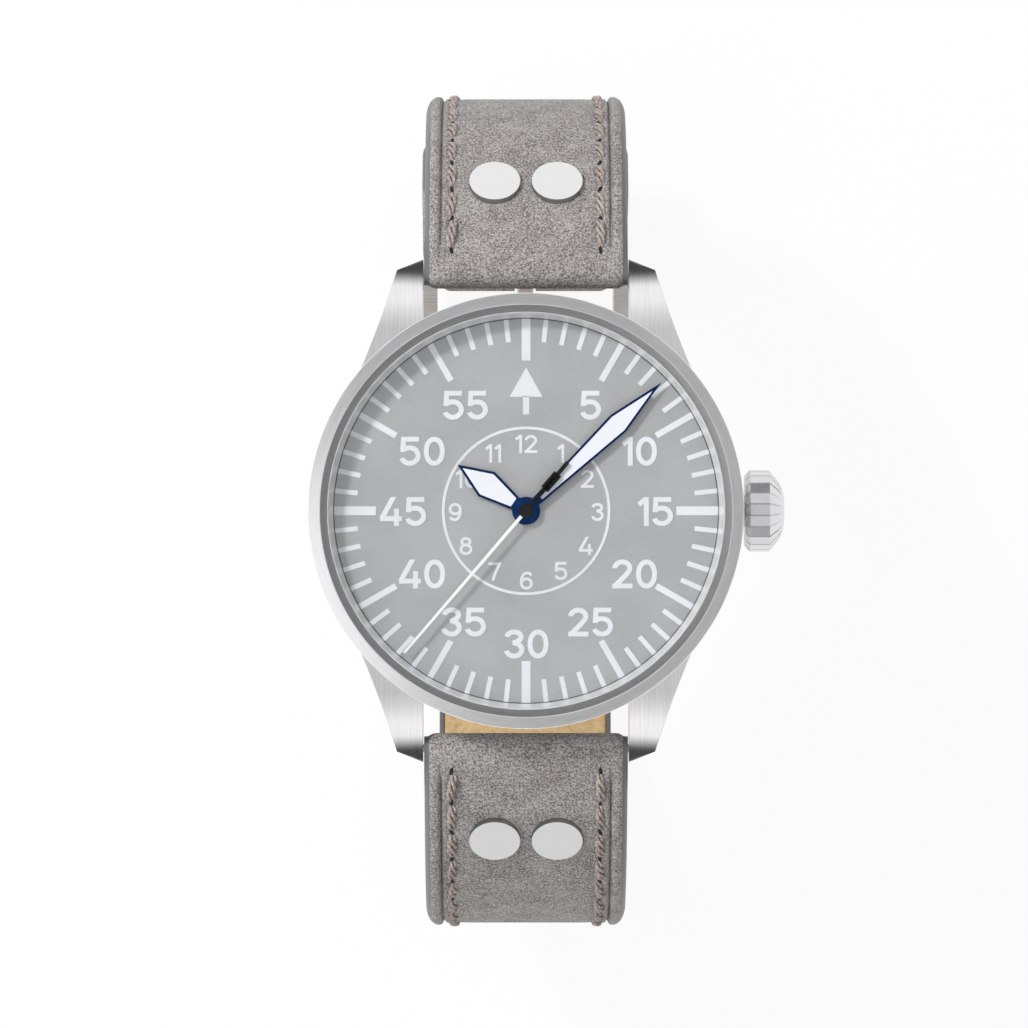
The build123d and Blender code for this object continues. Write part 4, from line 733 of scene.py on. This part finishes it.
bm = bmesh.new()
for width, start, end in ((0.4, -6.15, 0.0), (0.86, -4.7, -2.7)):
    add_bar(bm, width, start, end, low=0.005, depth=0.13)
soften(bm, needle_edge, angle=50)
hub_section = [(0, -0.02), (0.72, -0.02), (0.72, 0.16), (0.66, 0.2), (0.34, 0.2)]
hub_section += [(0.3, 0.27), (0.12, 0.27), (0.1, 0.2), (0, 0.2)]
add_collar(bm, hub_section, 48)
bmesh.ops.transform(bm, matrix=seconds_turn, verts=bm.verts)
make_piece("seconds_tail", bm, [black_lacquer], "seconds_work")

# Crown. A fluted crown with a domed, ribbed end, screwed on the winding stem. The flutes are
# milled, and they run on over the end to a small flat.
crown_steel = metal("crown_steel", (0.7, 0.7, 0.71), (0.84, 0.84, 0.85), 0.3, brush_marks, 6000.0, bump=0.002)
crown_flutes = 22
flute_start = 0.9
stem_height = 59.006

# Rings from the case outwards: place along the stem, radius, depth of the grooves and their half
# width as a share of the pitch
crown_rings = (
    (21.2, 2.9, 0.0, 0.3),
    (21.2, 3.4, 0.0, 0.3),
    (21.24, 3.46, 0.02, 0.08),
    (21.68, 3.95, 0.14, 0.07),
    (23.55, 3.95, 0.14, 0.07),
    (23.95, 3.47, 0.17, 0.08),
    (24.37, 2.96, 0.17, 0.09),
    (24.7, 2.4, 0.16, 0.11),
    (24.92, 1.8, 0.13, 0.14),
    (25.02, 1.2, 0.09, 0.18),
    (25.03, 0.9, 0.04, 0.24),
    (25.03, 0.2, 0.0, 0.3),
)


def crown_corners(place, radius, depth, half_groove):
    """The corners of one ring of the crown: flats between grooves."""
    pitch = math.tau / crown_flutes
    shoulder = 0.25 + half_groove / 2
    for flute in range(crown_flutes):
        for offset in (-0.5, -shoulder, -half_groove, 0.0, half_groove, shoulder):
            turn = (flute + flute_start + offset) * pitch
            reach = radius - depth
            if offset:
                reach = radius * math.cos((0.5 - half_groove) * pitch) / math.cos((0.5 - abs(offset)) * pitch)
            yield Vector((place, reach * math.cos(turn), stem_height + reach * math.sin(turn))) * mm


def place_key(vertex):
    """A vertex's place, rounded so that places can be compared."""
    return tuple(round(part, 9) for part in vertex.co)


bm = bmesh.new()
bmesh.ops.create_circle(bm, segments=crown_flutes * 6, radius=1)
ring = bm.edges[:]
order = sorted(bm.verts, key=lambda vertex: math.atan2(vertex.co.y, vertex.co.x) % math.tau)
for index, crown_ring in enumerate(crown_rings):
    if index:
        grown = bmesh.ops.extrude_edge_only(bm, edges=ring)["geom"]
        ring = [item for item in grown if isinstance(item, bmesh.types.BMEdge)]
        fresh = {place_key(item): item for item in grown if isinstance(item, bmesh.types.BMVert)}
        order = [fresh[place_key(vertex)] for vertex in order]
    for vertex, corner in zip(order, crown_corners(*crown_ring)):
        vertex.co = corner
bmesh.ops.holes_fill(bm, edges=[edge for edge in bm.edges if edge.is_boundary], sides=0)
make_piece("fluted_crown", bm, [crown_steel], "crown_and_stem", ["crown"], sharp=14, weighted=False)

dress(crown_steel, "crown_tube", "winding_stem")
rubber = plain_finish("gasket_rubber", (0.01, 0.01, 0.01), (0.03, 0.03, 0.03), 0.7, 3000.0)
dress(rubber, "crown_gasket", "case_back_gasket")

# Strap leather. Each half is grey brown leather, waxed, with a pressed line near each edge and its
# cut sides painted. It is folded round its spring bar and glued to its lining.
bar_y, bar_z = 23.1, 57.396
loop_height = 33.5
upper_centre, upper_radius = 15.1, 26.7
lower_centre, lower_radius = 8.3, 33.5
end_thickness, far_thickness = 3.0, 2.6
lining_depth = 0.9
bar_turn = math.asin((bar_y - upper_centre) / (upper_radius - end_thickness / 2))
buckle_turn = math.radians(29.8)
fold_turn = math.radians(9)
buckle_y = lower_centre + (lower_radius - far_thickness / 2) * math.sin(buckle_turn)
buckle_z = loop_height - (lower_radius - far_thickness / 2) * math.cos(buckle_turn)
strap_tip, tip_round = 9.3, 5.0
strap_steps, bar_steps, fold_steps = 34, 12, 6
narrow_half, widening = 8.95, 0.95
narrow_height, widening_height = 5, 35
halves = {"upper": 1, "lower": -1}


def upper_depth(turn):
    """The strap's thickness on the upper curve, which thins towards the widest place."""
    return end_thickness + (far_thickness - end_thickness) * (turn - bar_turn) / (math.pi / 2 - bar_turn)


def upper_stretch(half, start, end, count):
    """Places on the outside of the upper curve: side view point, outward normal, thickness."""
    for step in range(count + 1):
        turn = start + (end - start) * step / count
        normal = (half * math.sin(turn), math.cos(turn))
        point = (half * upper_centre + upper_radius * normal[0], loop_height + upper_radius * normal[1])
        yield point, normal, upper_depth(turn)


def lower_stretch(half, start, end, count):
    """The same on the lower curve, its angle measured from straight down."""
    for step in range(count + 1):
        turn = start + (end - start) * step / count
        normal = (half * math.sin(turn), -math.cos(turn))
        point = (half * lower_centre + lower_radius * normal[0], loop_height + lower_radius * normal[1])
        yield point, normal, far_thickness


def half_width(height):
    """Half of the strap's width, which narrows on its way down."""
    share = min(max((height - narrow_height) / widening_height, 0), 1)
    return narrow_half + widening * share


def strap_line(half, count):
    """The outside of a half from its spring bar to its end, evenly spaced, with the run along it."""
    stations = list(upper_stretch(half, bar_turn, math.pi / 2, count))
    if half > 0:
        stations += list(lower_stretch(half, math.pi / 2, buckle_turn, count))[1:]
    else:
        stations += list(lower_stretch(half, math.pi / 2, 0, round(count * 1.5)))[1:]
        flat_steps = round(count * 0.5)
        flat_run = lower_centre + strap_tip
        for step in range(1, flat_steps + 1):
            stations.append(((-lower_centre + flat_run * step / flat_steps, 0), (0, -1), far_thickness))
    run = 0.0
    line = []
    last = stations[0][0]
    for point, normal, depth in stations:
        run += math.hypot(point[0] - last[0], point[1] - last[1])
        line.append((run, point, normal, depth))
        last = point
    return line


def tip_narrowing(half, point):
    """How much narrower the long half is at its rounded tip."""
    over = point[0] - (strap_tip - tip_round)
    if half > 0 or point[1] > 1 or over <= 0:
        return 0.0
    return tip_round - math.sqrt(max(tip_round**2 - min(over, tip_round) ** 2, 0))


# One side of the section, from the middle outwards: distance from the edge, depth of the
# plain strap, and how much deeper it is where the strap is pressed between its rims
leather_top = (
    (6.0, 0.0, 0.42),
    (3.9, 0.0, 0.42),
    (3.3, 0.0, 0.45),
    (2.95, 0.0, 0.52),
    (2.65, 0.0, 0.58),
    (2.35, 0.0, 0.52),
    (2.1, 0.0, 0.42),
    (1.88, 0.0, 0.4),
    (1.77, 0.0, 0.52),
    (1.63, 0.0, 0.8),
    (1.49, 0.0, 0.52),
    (1.36, 0.0, 0.27),
    (1.15, 0.0, 0.19),
    (0.95, 0.03, 0.17),
    (0.76, 0.09, 0.16),
    (0.5, 0.25, 0.15),
    (0.27, 0.5, 0.13),
    (0.08, 0.9, 0.1),
    (0.0, 1.3, 0.05),
)
painted_from = 15
pressed_run = (0.2, 4.5)
glued_run = 4.2
fold_skin, buckle_skin, end_skin = 0.57, 0.68, 0.9


def closed_section(side):
    """A section's corners all the way round, from the ones of its right side."""
    return side + [(-x, drop, painted) for x, drop, painted in side[1:-1][::-1]]


def leather_section(width, depth, full, crease):
    """The section's corners round the leather, as X and depth, and which of them are painted."""
    side = [(0.0, leather_top[0][2] * crease, False)]
    for index, (inset, drop, pressed) in enumerate(leather_top):
        side.append((max(width - inset, 0.4), min(drop + pressed * crease, full * 0.55), index >= painted_from))
    inner = min(depth + 0.05, full)
    side += [
        (width, max(full - 0.3, full * 0.6), True),
        (width - 0.1, full - 0.07, True),
        (width - 0.2, full, True),
        (width - 0.45, full, True),
        (width - 0.5, inner, False),
        (0.0, inner, False),
    ]
    return closed_section(side)


def add_grid(bm, columns, rows):
    """Adds a grid to be shaped, and gives its vertices with their column and row."""
    start = len(bm.verts)
    bmesh.ops.create_grid(bm, x_segments=columns, y_segments=rows, size=0.5)
    bm.verts.ensure_lookup_table()
    for vertex in bm.verts[start:]:
        yield vertex, round((vertex.co.x + 0.5) * columns), round((vertex.co.y + 0.5) * rows)


def sweep_strap(stations, section_of):
    """A closed skin through sections. Each station gives a point, a normal and what its section needs."""
    sections = [section_of(station) for station in stations]
    around = len(sections[0])
    bm = bmesh.new()
    for vertex, column, row in add_grid(bm, around, len(stations) - 1):
        (y, z), normal = stations[row][:2]
        x, drop, _ = sections[row][column % around]
        vertex.co = (x * mm, (y - normal[0] * drop) * mm, (z - normal[1] * drop) * mm)
    painted = [corner[2] for corner in sections[0]]
    for face in bm.faces:
        columns = [vertex.index % (around + 1) for vertex in face.verts]
        face.material_index = int(painted[min(columns)] and painted[max(columns) % around])
    bmesh.ops.remove_doubles(bm, verts=bm.verts, dist=1e-7)
    bmesh.ops.holes_fill(bm, edges=[edge for edge in bm.edges if edge.is_boundary], sides=0)
    return bm


def smooth_step(value, low, high):
    """A share that rises smoothly from 0 to 1 between two values."""
    share = min(max((value - low) / (high - low), 0), 1)
    return share * share * (3 - 2 * share)


def inner_side(point, out, depth):
    """The place on the strap's inside under a point of its outside, and the normal there."""
    return (point[0] - out[0] * depth, point[1] - out[1] * depth), (-out[0], -out[1])


def folded(middle, normal, along, turn, radius):
    """A place on a fold round a bar, and the normal there."""
    out = tuple(math.cos(turn) * n + math.sin(turn) * a for n, a in zip(normal, along))
    return tuple(m + o * radius for m, o in zip(middle, out)), out


def leather_stations(half):
    """The leather's whole path: inner fold, round the bar, along the outside, and round the buckle's bar."""
    path = []
    for index, (point, out, depth) in enumerate(upper_stretch(half, bar_turn + fold_turn, bar_turn, fold_steps)):
        skin = end_skin + (depth / 2 - end_skin) * min(index / 3, 1) if index < 5 else fold_skin
        path.append((*inner_side(point, out, depth), skin, skin, 0.0))
    normal = (half * math.sin(bar_turn), math.cos(bar_turn))
    along = (-half * math.cos(bar_turn), math.sin(bar_turn))
    for step in range(1, bar_steps):
        turn = math.pi * (1 - step / bar_steps)
        place = folded((half * bar_y, bar_z), normal, along, turn, end_thickness / 2)
        path.append((*place, fold_skin, fold_skin, 0.0))
    for run, point, out, depth in strap_line(half, strap_steps):
        skin = fold_skin + (depth - lining_depth - fold_skin) * smooth_step(run, 0.0, glued_run)
        full = skin if run < glued_run else depth
        path.append((point, out, skin, full, smooth_step(run, *pressed_run)))
    if half < 0:
        return path
    normal = (math.sin(buckle_turn), -math.cos(buckle_turn))
    along = (-math.cos(buckle_turn), -math.sin(buckle_turn))
    for step in range(1, bar_steps):
        place = folded((buckle_y, buckle_z), normal, along, math.pi * step / bar_steps, far_thickness / 2)
        skin = buckle_skin if step > 1 else 1.0
        path.append((*place, skin, skin, 0.0))
    inner = lower_stretch(half, buckle_turn, buckle_turn + fold_turn, fold_steps)
    for index, (point, out, depth) in enumerate(inner):
        skin = buckle_skin if index < 2 else end_skin
        path.append((*inner_side(point, out, depth), skin, skin, 0.0))
    return path


def leather_of(half):
    """How to make the leather's section at a station."""

    def section(station):
        point, _, depth, full, crease = station
        return leather_section(half_width(point[1]) - tip_narrowing(half, point), depth, full, crease)

    return section


# Leather grain: dark pores and light nap on a mottled ground
leather_grain, vector, fineness, leave = node_group("leather_grain", "Speckle", "Mottle", "Height")
mottle_scale, pore_share = 0.07, 0.6
speckle = noise(leather_grain, vector, fineness, roughness=0.6)
wide = calculate(leather_grain, "MULTIPLY", fineness, mottle_scale)
mottle = noise(leather_grain, vector, wide, detail=4.0, roughness=0.6)
pores = add_node(leather_grain, "ShaderNodeTexVoronoi", {"Vector": vector, "Scale": fineness}).outputs["Distance"]
bumps = calculate(leather_grain, "MULTIPLY_ADD", pores, pore_share, speckle)
for result, exit_name in ((speckle, "Speckle"), (mottle, "Mottle"), (bumps, "Height")):
    leather_grain.links.new(result, leave[exit_name])


def leather(name, dark, middle, light, rough, fineness, bump, sheen=0.0, contrast=0.16):
    """Leather whose speckle runs from a dark pore to a light fibre."""
    material, tree, output = new_material(name)
    place = add_node(tree, "ShaderNodeTexCoord").outputs["Object"]
    grain = add_node(tree, "ShaderNodeGroup", {"Vector": place, "Fineness": fineness}, node_tree=leather_grain).outputs
    mottle_share, middle_tone, rough_change = 0.22, 0.61, 0.06
    tones = (middle_tone - contrast, middle_tone + contrast)
    tone = calculate(tree, "MULTIPLY_ADD", grain["Mottle"], mottle_share, grain["Speckle"])
    surface(
        tree,
        output,
        {
            "Base Color": colours(tree, spread(tree, tone, start=tones), dark, middle, light),
            "Roughness": spread(tree, grain["Speckle"], end=(rough + rough_change, rough - rough_change)),
            "Normal": relief(tree, grain["Height"], strength=0.7, depth=bump),
            "Sheen Weight": sheen,
            "Specular IOR Level": 0.3,
        },
    )
    return material


grey_leather = leather(
    "grey_leather",
    (0.12, 0.108, 0.104),
    (0.3, 0.28, 0.272),
    (0.5, 0.48, 0.47),
    0.75,
    5600.0,
    0.03,
    sheen=0.05,
    contrast=0.15,
)
edge_paint = plain_finish("edge_paint", (0.125, 0.125, 0.127), (0.155, 0.155, 0.157), 0.42, 1500.0)


def carve(piece, bm):
    """Cuts a closed shape out of a piece."""
    cutter = to_scene("cutter", to_mesh(bm, "cutter"))
    cut = piece.modifiers.new("cut", "BOOLEAN")
    cut.operation = "DIFFERENCE"
    cut.solver = "EXACT"
    cut.object = cutter
    bpy.context.view_layer.update()
    shaped = bpy.data.meshes.new_from_object(piece.evaluated_get(bpy.context.evaluated_depsgraph_get()))
    piece.modifiers.clear()
    old = piece.data
    piece.data = shaped
    bpy.data.meshes.remove(old)
    bpy.data.objects.remove(cutter)


def add_pin(bm, radius, length, segments, matrix):
    """Adds a plain round pin."""
    bmesh.ops.create_cone(
        bm, cap_ends=True, segments=segments, radius1=radius * mm, radius2=radius * mm, depth=length * mm, matrix=matrix
    )


hole_radius, first_hole, hole_pitch = 0.8, 18.0, 6.5
slot_slope, slot_shift, slot_size = math.radians(17), -0.2, (2.2, 5.6, 9)


def hole_pins():
    """Round pins for the six buckle holes of the long half."""
    bm = bmesh.new()
    for hole in range(6):
        run = first_hole + hole_pitch * hole - (strap_tip + lower_centre)
        turn = max(run, 0) / lower_radius
        y = -(lower_centre + lower_radius * math.sin(turn)) if run > 0 else strap_tip - first_hole
        z = loop_height - lower_radius * math.cos(turn)
        place = Matrix.Translation((0, y * mm, z * mm)) @ Matrix.Rotation(-turn, 4, "X")
        add_pin(bm, hole_radius, length=8, segments=28, matrix=place)
    return bm


def tang_slot():
    """A block for the tang's slot in the short half's end."""
    bm = bmesh.new()
    place = Matrix.Translation((0, buckle_y * mm, buckle_z * mm)) @ Matrix.Rotation(slot_slope, 4, "X")
    place = place @ Matrix.Translation((0, slot_shift * mm, 0))
    size = Matrix.Diagonal((*(part * mm for part in slot_size), 1))
    bmesh.ops.create_cube(bm, size=1, matrix=place @ size)
    return bm


for side, half in halves.items():
    bm = sweep_strap(leather_stations(half), leather_of(half))
    piece = make_piece(
        f"{side}_leather",
        bm,
        [grey_leather, edge_paint],
        f"{side}_strap",
        [f"{side}_strap_leather"],
        sharp=70,
        weighted=False,
    )
    carve(piece, hole_pins() if half < 0 else tang_slot())

# Strap lining. The inside of the strap is smooth tan calf leather, a little narrower than the
# outside, so that the painted edge shows on both sides of it.
tan_leather = leather(
    "tan_leather", (0.42, 0.27, 0.125), (0.56, 0.4, 0.21), (0.64, 0.47, 0.26), 0.5, 1800.0, 0.015, contrast=0.3
)
lining_start, lining_inset, glue_depth = 4.15, 0.5, 0.04


def lining_section(station):
    """Section of the lining: a flat band with rounded corners and a pressed line near each edge."""
    point, _, depth, narrowing = station
    width = half_width(point[1]) - lining_inset - narrowing
    top = depth - lining_depth + glue_depth
    side = [
        (0.0, top, False),
        (width, top, False),
        (width, depth - 0.25, False),
        (width - 0.07, depth - 0.08, False),
        (width - 0.25, depth, False),
        (width - 1.2, depth, False),
        (width - 1.35, depth - 0.07, False),
        (width - 1.5, depth, False),
        (0.0, depth, False),
    ]
    return closed_section(side)


for side, half in halves.items():
    stations = []
    for run, point, out, depth in strap_line(half, strap_steps):
        turn = math.atan2(abs(point[0]) - lower_centre, loop_height - point[1])
        at_buckle = half > 0 and point[1] < loop_height and turn < buckle_turn + fold_turn
        if run > lining_start and not at_buckle:
            stations.append((point, out, depth, tip_narrowing(half, point)))
    piece = make_piece(
        f"{side}_lining",
        sweep_strap(stations, lining_section),
        [tan_leather],
        f"{side}_strap",
        [f"{side}_strap_lining"],
        sharp=60,
        weighted=False,
    )
    if half < 0:
        carve(piece, hole_pins())

# Stitching. Both halves are sewn near their edges with thick twisted linen thread. Each stitch
# dives into a punched hole at both ends, and the shade in the holes is painted as small near-black dishes.
thread = leather(
    "linen_thread", (0.17, 0.13, 0.12), (0.4, 0.33, 0.305), (0.6, 0.53, 0.5), 0.75, 5200.0, 0.03, contrast=0.22
)
# Painted shade: a near-black finish for the dishes that stand for the shade inside the holes.
hole_shade_paint = plain_finish("painted_hole_shade", (0.012, 0.01, 0.01), (0.03, 0.026, 0.025), 0.9, 4000.0)
stitch_pitch, stitch_length, stitch_inset, stitch_depth = 3.75, 3.5, 2.65, 0.58
first_stitch = 1.9
last_stitch = {"upper": 64.5, "lower": 96.5}
strands, strand_radius, strand_lay = 3, 0.21, 3.7
strand_out, strand_up, thread_lift, thread_dive = 0.3, 0.25, 0.16, 0.62
hole_size = (0.19, 0.5, 0.12)
stitch_slant, stitch_swing, hole_swing = 5, 4, 25
stitch_widths = (0.9, 1.08)
random.seed(7)


def stitch_mesh():
    """One stitch along Y: three strands laid round each other, their ends diving down."""
    bm = bmesh.new()
    rings, sides = 12, 6
    for strand in range(strands):
        for vertex, column, row in add_grid(bm, sides, rings):
            around = column / sides * math.tau
            along = row / rings * 2 - 1
            lay = strand * math.tau / strands + along * strand_lay
            plump = math.sqrt(max(1 - along**2 * 0.8, 0.12))
            radius = strand_radius * plump
            x = strand_out * plump * math.cos(lay) + radius * math.cos(around)
            z = strand_up * plump * math.sin(lay) + radius * math.sin(around) + thread_lift - thread_dive * along**4
            vertex.co = (x * mm, along * stitch_length / 2 * mm, z * mm)
    bmesh.ops.remove_doubles(bm, verts=bm.verts, dist=1e-7)
    return to_mesh(bm, "stitch")


def hole_mesh():
    """One hole's shade: a small dish painted near-black, pressed into the leather."""
    bm = bmesh.new()
    size = Matrix.Diagonal((*(part * mm for part in hole_size), 1))
    bmesh.ops.create_uvsphere(bm, u_segments=10, v_segments=5, radius=1, matrix=size)
    return to_mesh(bm, "hole")


def place_on_leather(line, run, hand):
    """A matrix in the pressed line of one side of the strap: X across, Y along, Z out of its surface."""
    for (run_a, point_a, out_a, _), (run_b, point_b, out_b, _) in zip(line, line[1:]):
        if run_a <= run <= run_b:
            share = (run - run_a) / (run_b - run_a)
            y, z = (a + (b - a) * share for a, b in zip(point_a, point_b))
            out = Vector((0, *(a + (b - a) * share for a, b in zip(out_a, out_b)))).normalized()
            across = Vector((1, 0, 0))
            matrix = Matrix((across, out.cross(across), out)).transposed().to_4x4()
            matrix.translation = Vector((hand * (half_width(z) - stitch_inset), y, z)) * mm
            return matrix


def stamp(bm, shape, matrix):
    """Adds a copy of a mesh at a place."""
    copy = shape.copy()
    copy.transform(matrix)
    bm.from_mesh(copy)
    bpy.data.meshes.remove(copy)


stitch, hole = stitch_mesh(), hole_mesh()
for side, half in halves.items():
    line = strap_line(half, strap_steps)
    stitches, holes = bmesh.new(), bmesh.new()
    for hand in (1, -1):
        run = first_stitch
        while run < last_stitch[side]:
            sunk = Matrix.Translation((0, 0, -stitch_depth * smooth_step(run, *pressed_run) * mm))
            slant = math.radians(random.uniform(-stitch_swing, stitch_swing) + stitch_slant * hand)
            tilt = Matrix.Rotation(slant, 4, "Z") @ Matrix.Diagonal((random.uniform(*stitch_widths), 1, 1, 1))
            stamp(stitches, stitch, place_on_leather(line, run + stitch_pitch / 2, hand) @ sunk @ tilt)
            twist = Matrix.Rotation(math.radians(random.uniform(-hole_swing, hole_swing)), 4, "Z")
            stamp(holes, hole, place_on_leather(line, run, hand) @ sunk @ twist)
            run += stitch_pitch
    make_piece(f"{side}_stitching", stitches, [thread], f"{side}_strap", sharp=80, weighted=False)
    make_piece(f"{side}_stitch_hole_shade", holes, [hole_shade_paint], f"{side}_strap", sharp=80, weighted=False)
bpy.data.meshes.remove(stitch)
bpy.data.meshes.remove(hole)

# Rivets. Two flat steel rivets close each half near the case. Their heads are turned discs with
# a broken edge, and each is closed over a washer on the lining.
rivet_steel = metal(
    "rivet_steel",
    (0.74, 0.74, 0.74),
    (0.81, 0.81, 0.81),
    0.45,
    brush_marks,
    8000.0,
    bump=0.003,
    metallic=0.2,
    mottle=0.0,
)
# The side walls are the same steel painted darker than the faces, as painted shade.
rivet_wall_painted_shade = metal("rivet_wall_painted_shade", (0.3, 0.3, 0.3), (0.45, 0.45, 0.45), 0.4, brush_marks, 8000.0, bump=0.004)
rivet_x, rivet_y = 3.05, 32.2
rivet_turn = math.asin((rivet_y - upper_centre) / upper_radius)
rivet_strap = upper_depth(rivet_turn)
# A rivet's head and its washer: from and to above the strap's outside, and radius
rivet_parts = ((-0.6, 0.14, 2.5), (-rivet_strap - 0.4, -rivet_strap + 0.1, 1.7))
for side, half in halves.items():
    out = Vector((0, half * math.sin(rivet_turn), math.cos(rivet_turn)))
    stand = out.to_track_quat("Z", "Y").to_matrix().to_4x4()
    bm = bmesh.new()
    for hand in (1, -1):
        foot = Vector((hand * rivet_x, half * upper_centre, loop_height)) + out * upper_radius
        for start, end, radius in rivet_parts:
            middle = Matrix.Translation((foot + out * (start + end) / 2) * mm)
            add_pin(bm, radius, end - start, segments=64, matrix=middle @ stand)
    # Faces that turn away from the rivet's axis, its side walls, get the painted shade.
    for face in bm.faces:
        face.material_index = int(abs(face.normal.dot(out)) < 0.5)
    soften(bm, 0.06, angle=60)
    make_piece(
        f"{side}_rivet_heads", bm, [rivet_steel, rivet_wall_painted_shade], f"{side}_strap", [f"{side}_rivets"]
    )

# Keepers. Two bands of the strap's leather go round the short half: one is sewn in place, and
# the other slides. Their edges are rounded and painted.
keeper_half, keeper_low, keeper_high = 9.55, -2.75, 3.1
keeper_corner, keeper_bow = 0.4, 0.25
keeper_edge = 2.25
keeper_section = (
    (-2.5, 0.2),
    (-2.4, 0.03),
    (-2.2, 0.0),
    (2.2, 0.0),
    (2.4, 0.03),
    (2.5, 0.2),
    (2.5, 0.72),
    (2.4, 0.92),
    (2.2, 1.03),
    (1.8, 1.1),
    (-1.8, 1.1),
    (-2.2, 1.03),
    (-2.4, 0.92),
    (-2.5, 0.72),
)
fixed_run, loose_run = 5.45, 5.3
keeper_turn = buckle_turn + fixed_run / (lower_radius - far_thickness / 2)
loose_turn = keeper_turn + loose_run / (lower_radius - far_thickness)


def keeper_path():
    """The inside line of a keeper as place and outward normal: rounded corners, and a bowed front."""
    side = keeper_half - keeper_corner
    top, bottom = keeper_high - keeper_corner, keeper_low + keeper_corner
    path = []
    for corner, (x, z) in enumerate(((side, top), (-side, top), (-side, bottom), (side, bottom))):
        for step in range(7):
            turn = math.radians(90 * corner + 15 * step)
            normal = (math.cos(turn), math.sin(turn))
            path.append(((x + keeper_corner * normal[0], z + keeper_corner * normal[1]), normal))
        if corner == 0:
            for step in range(1, 10):
                share = 1 - step / 5
                path.append(((share * side, keeper_high + keeper_bow * (1 - share**2)), (0, 1)))
    return path


path = keeper_path()
around, across = len(path), len(keeper_section)
for node, body, turn in (
    ("fixed_keeper", "upper_strap", keeper_turn),
    ("loose_keeper", "free_keeper", loose_turn),
):
    out = Vector((0, math.sin(turn), -math.cos(turn)))
    along = Vector((0, math.cos(turn), math.sin(turn)))
    foot = Vector((0, lower_centre, loop_height)) + out * lower_radius
    bm = bmesh.new()
    for vertex, column, row in add_grid(bm, around, across):
        (x, z), normal = path[column % around]
        run, skin = keeper_section[row % across]
        vertex.co = (foot + Vector((x + normal[0] * skin, 0, 0)) + out * (z + normal[1] * skin) + along * run) * mm
    for face in bm.faces:
        face.material_index = int(abs((face.calc_center_median() - foot * mm).dot(along)) > keeper_edge * mm)
    bmesh.ops.remove_doubles(bm, verts=bm.verts, dist=1e-7)
    make_piece(f"{node}_band", bm, [grey_leather, edge_paint], body, [node], sharp=60, weighted=False)

# Buckle. A pin buckle of brushed steel: a bent frame, a bar that is pressed into both arms, and
# a tang that turns on the bar.
buckle_steel = metal(
    "buckle_steel", (0.58, 0.58, 0.59), (0.76, 0.76, 0.77), 0.25, brush_marks, 7000.0, (0.04, 1, 1), bump=0.006
)
for node, body, width in (("buckle_frame", "buckle", 0.35), ("buckle_tang", "tang", 0.2)):
    bm = cad_copy(node)
    soften(bm, width, segments=3, angle=40)
    make_piece(f"{node}_smooth", bm, [buckle_steel], body, [node])
dress(buckle_steel, "buckle_bar")

# Spring bars. Each strap half turns on a steel tube with two sprung tips that snap into the lugs.
# Tubes and tips are turned and keep the shapes of their solids.
bar_steel = metal("bar_steel", (0.5, 0.5, 0.51), (0.68, 0.68, 0.69), 0.3, brush_marks, 7000.0)
for side in halves:
    dress(bar_steel, f"{side}_spring_bar", f"{side}_right_bar_tip", f"{side}_left_bar_tip")

# Case back. A screwed steel lid, turned and brushed round, with six notches for its key.
# A rubber gasket seals the corner between it and the case's bore.
back_steel = metal(
    "back_steel", (0.52, 0.52, 0.53), (0.74, 0.74, 0.75), 0.3, turning_marks, 7000.0, anisotropy=0.5
)
bm = cad_copy("case_back")
soften(bm, 0.12)
make_piece("back_lid", bm, [back_steel], "case", ["case_back"])

# Movement. Plates of rhodium plated brass carry gilt wheels and steel pinions. They are closed in
# by the dial and the case back, so they keep the shapes of their solids.
plate_finish = metal("rhodium_plate", (0.5, 0.49, 0.46), (0.66, 0.65, 0.62), 0.3, brush_marks, 3000.0)
gilt_finish = metal("gilt_brass", (0.62, 0.45, 0.16), (0.8, 0.62, 0.28), 0.28, turning_marks, 5000.0)
work_steel = metal("work_steel", (0.45, 0.45, 0.47), (0.62, 0.62, 0.64), 0.25, brush_marks, 5000.0)
holder_plastic = plain_finish("holder_plastic", (0.5, 0.49, 0.45), (0.6, 0.59, 0.55), 0.5, 2000.0)
dress(plate_finish, "main_plate", "train_bridge", "balance_cock")
dress(gilt_finish, "mainspring_barrel", "centre_wheel", "third_wheel", "fourth_wheel")
dress(gilt_finish, "minute_wheel", "hour_wheel", "balance_wheel")
dress(work_steel, "escape_wheel", "pallet_fork", "cannon_pinion", "barrel_arbor", "hairspring")
dress(work_steel, "setting_lever", "sliding_pinion", "winding_pinion", "rotor", "rotor_bearing")
dress(holder_plastic, "movement_ring")

visual_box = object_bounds()
[[list(corner) for corner in box] for box in (cad_box, visual_box)]
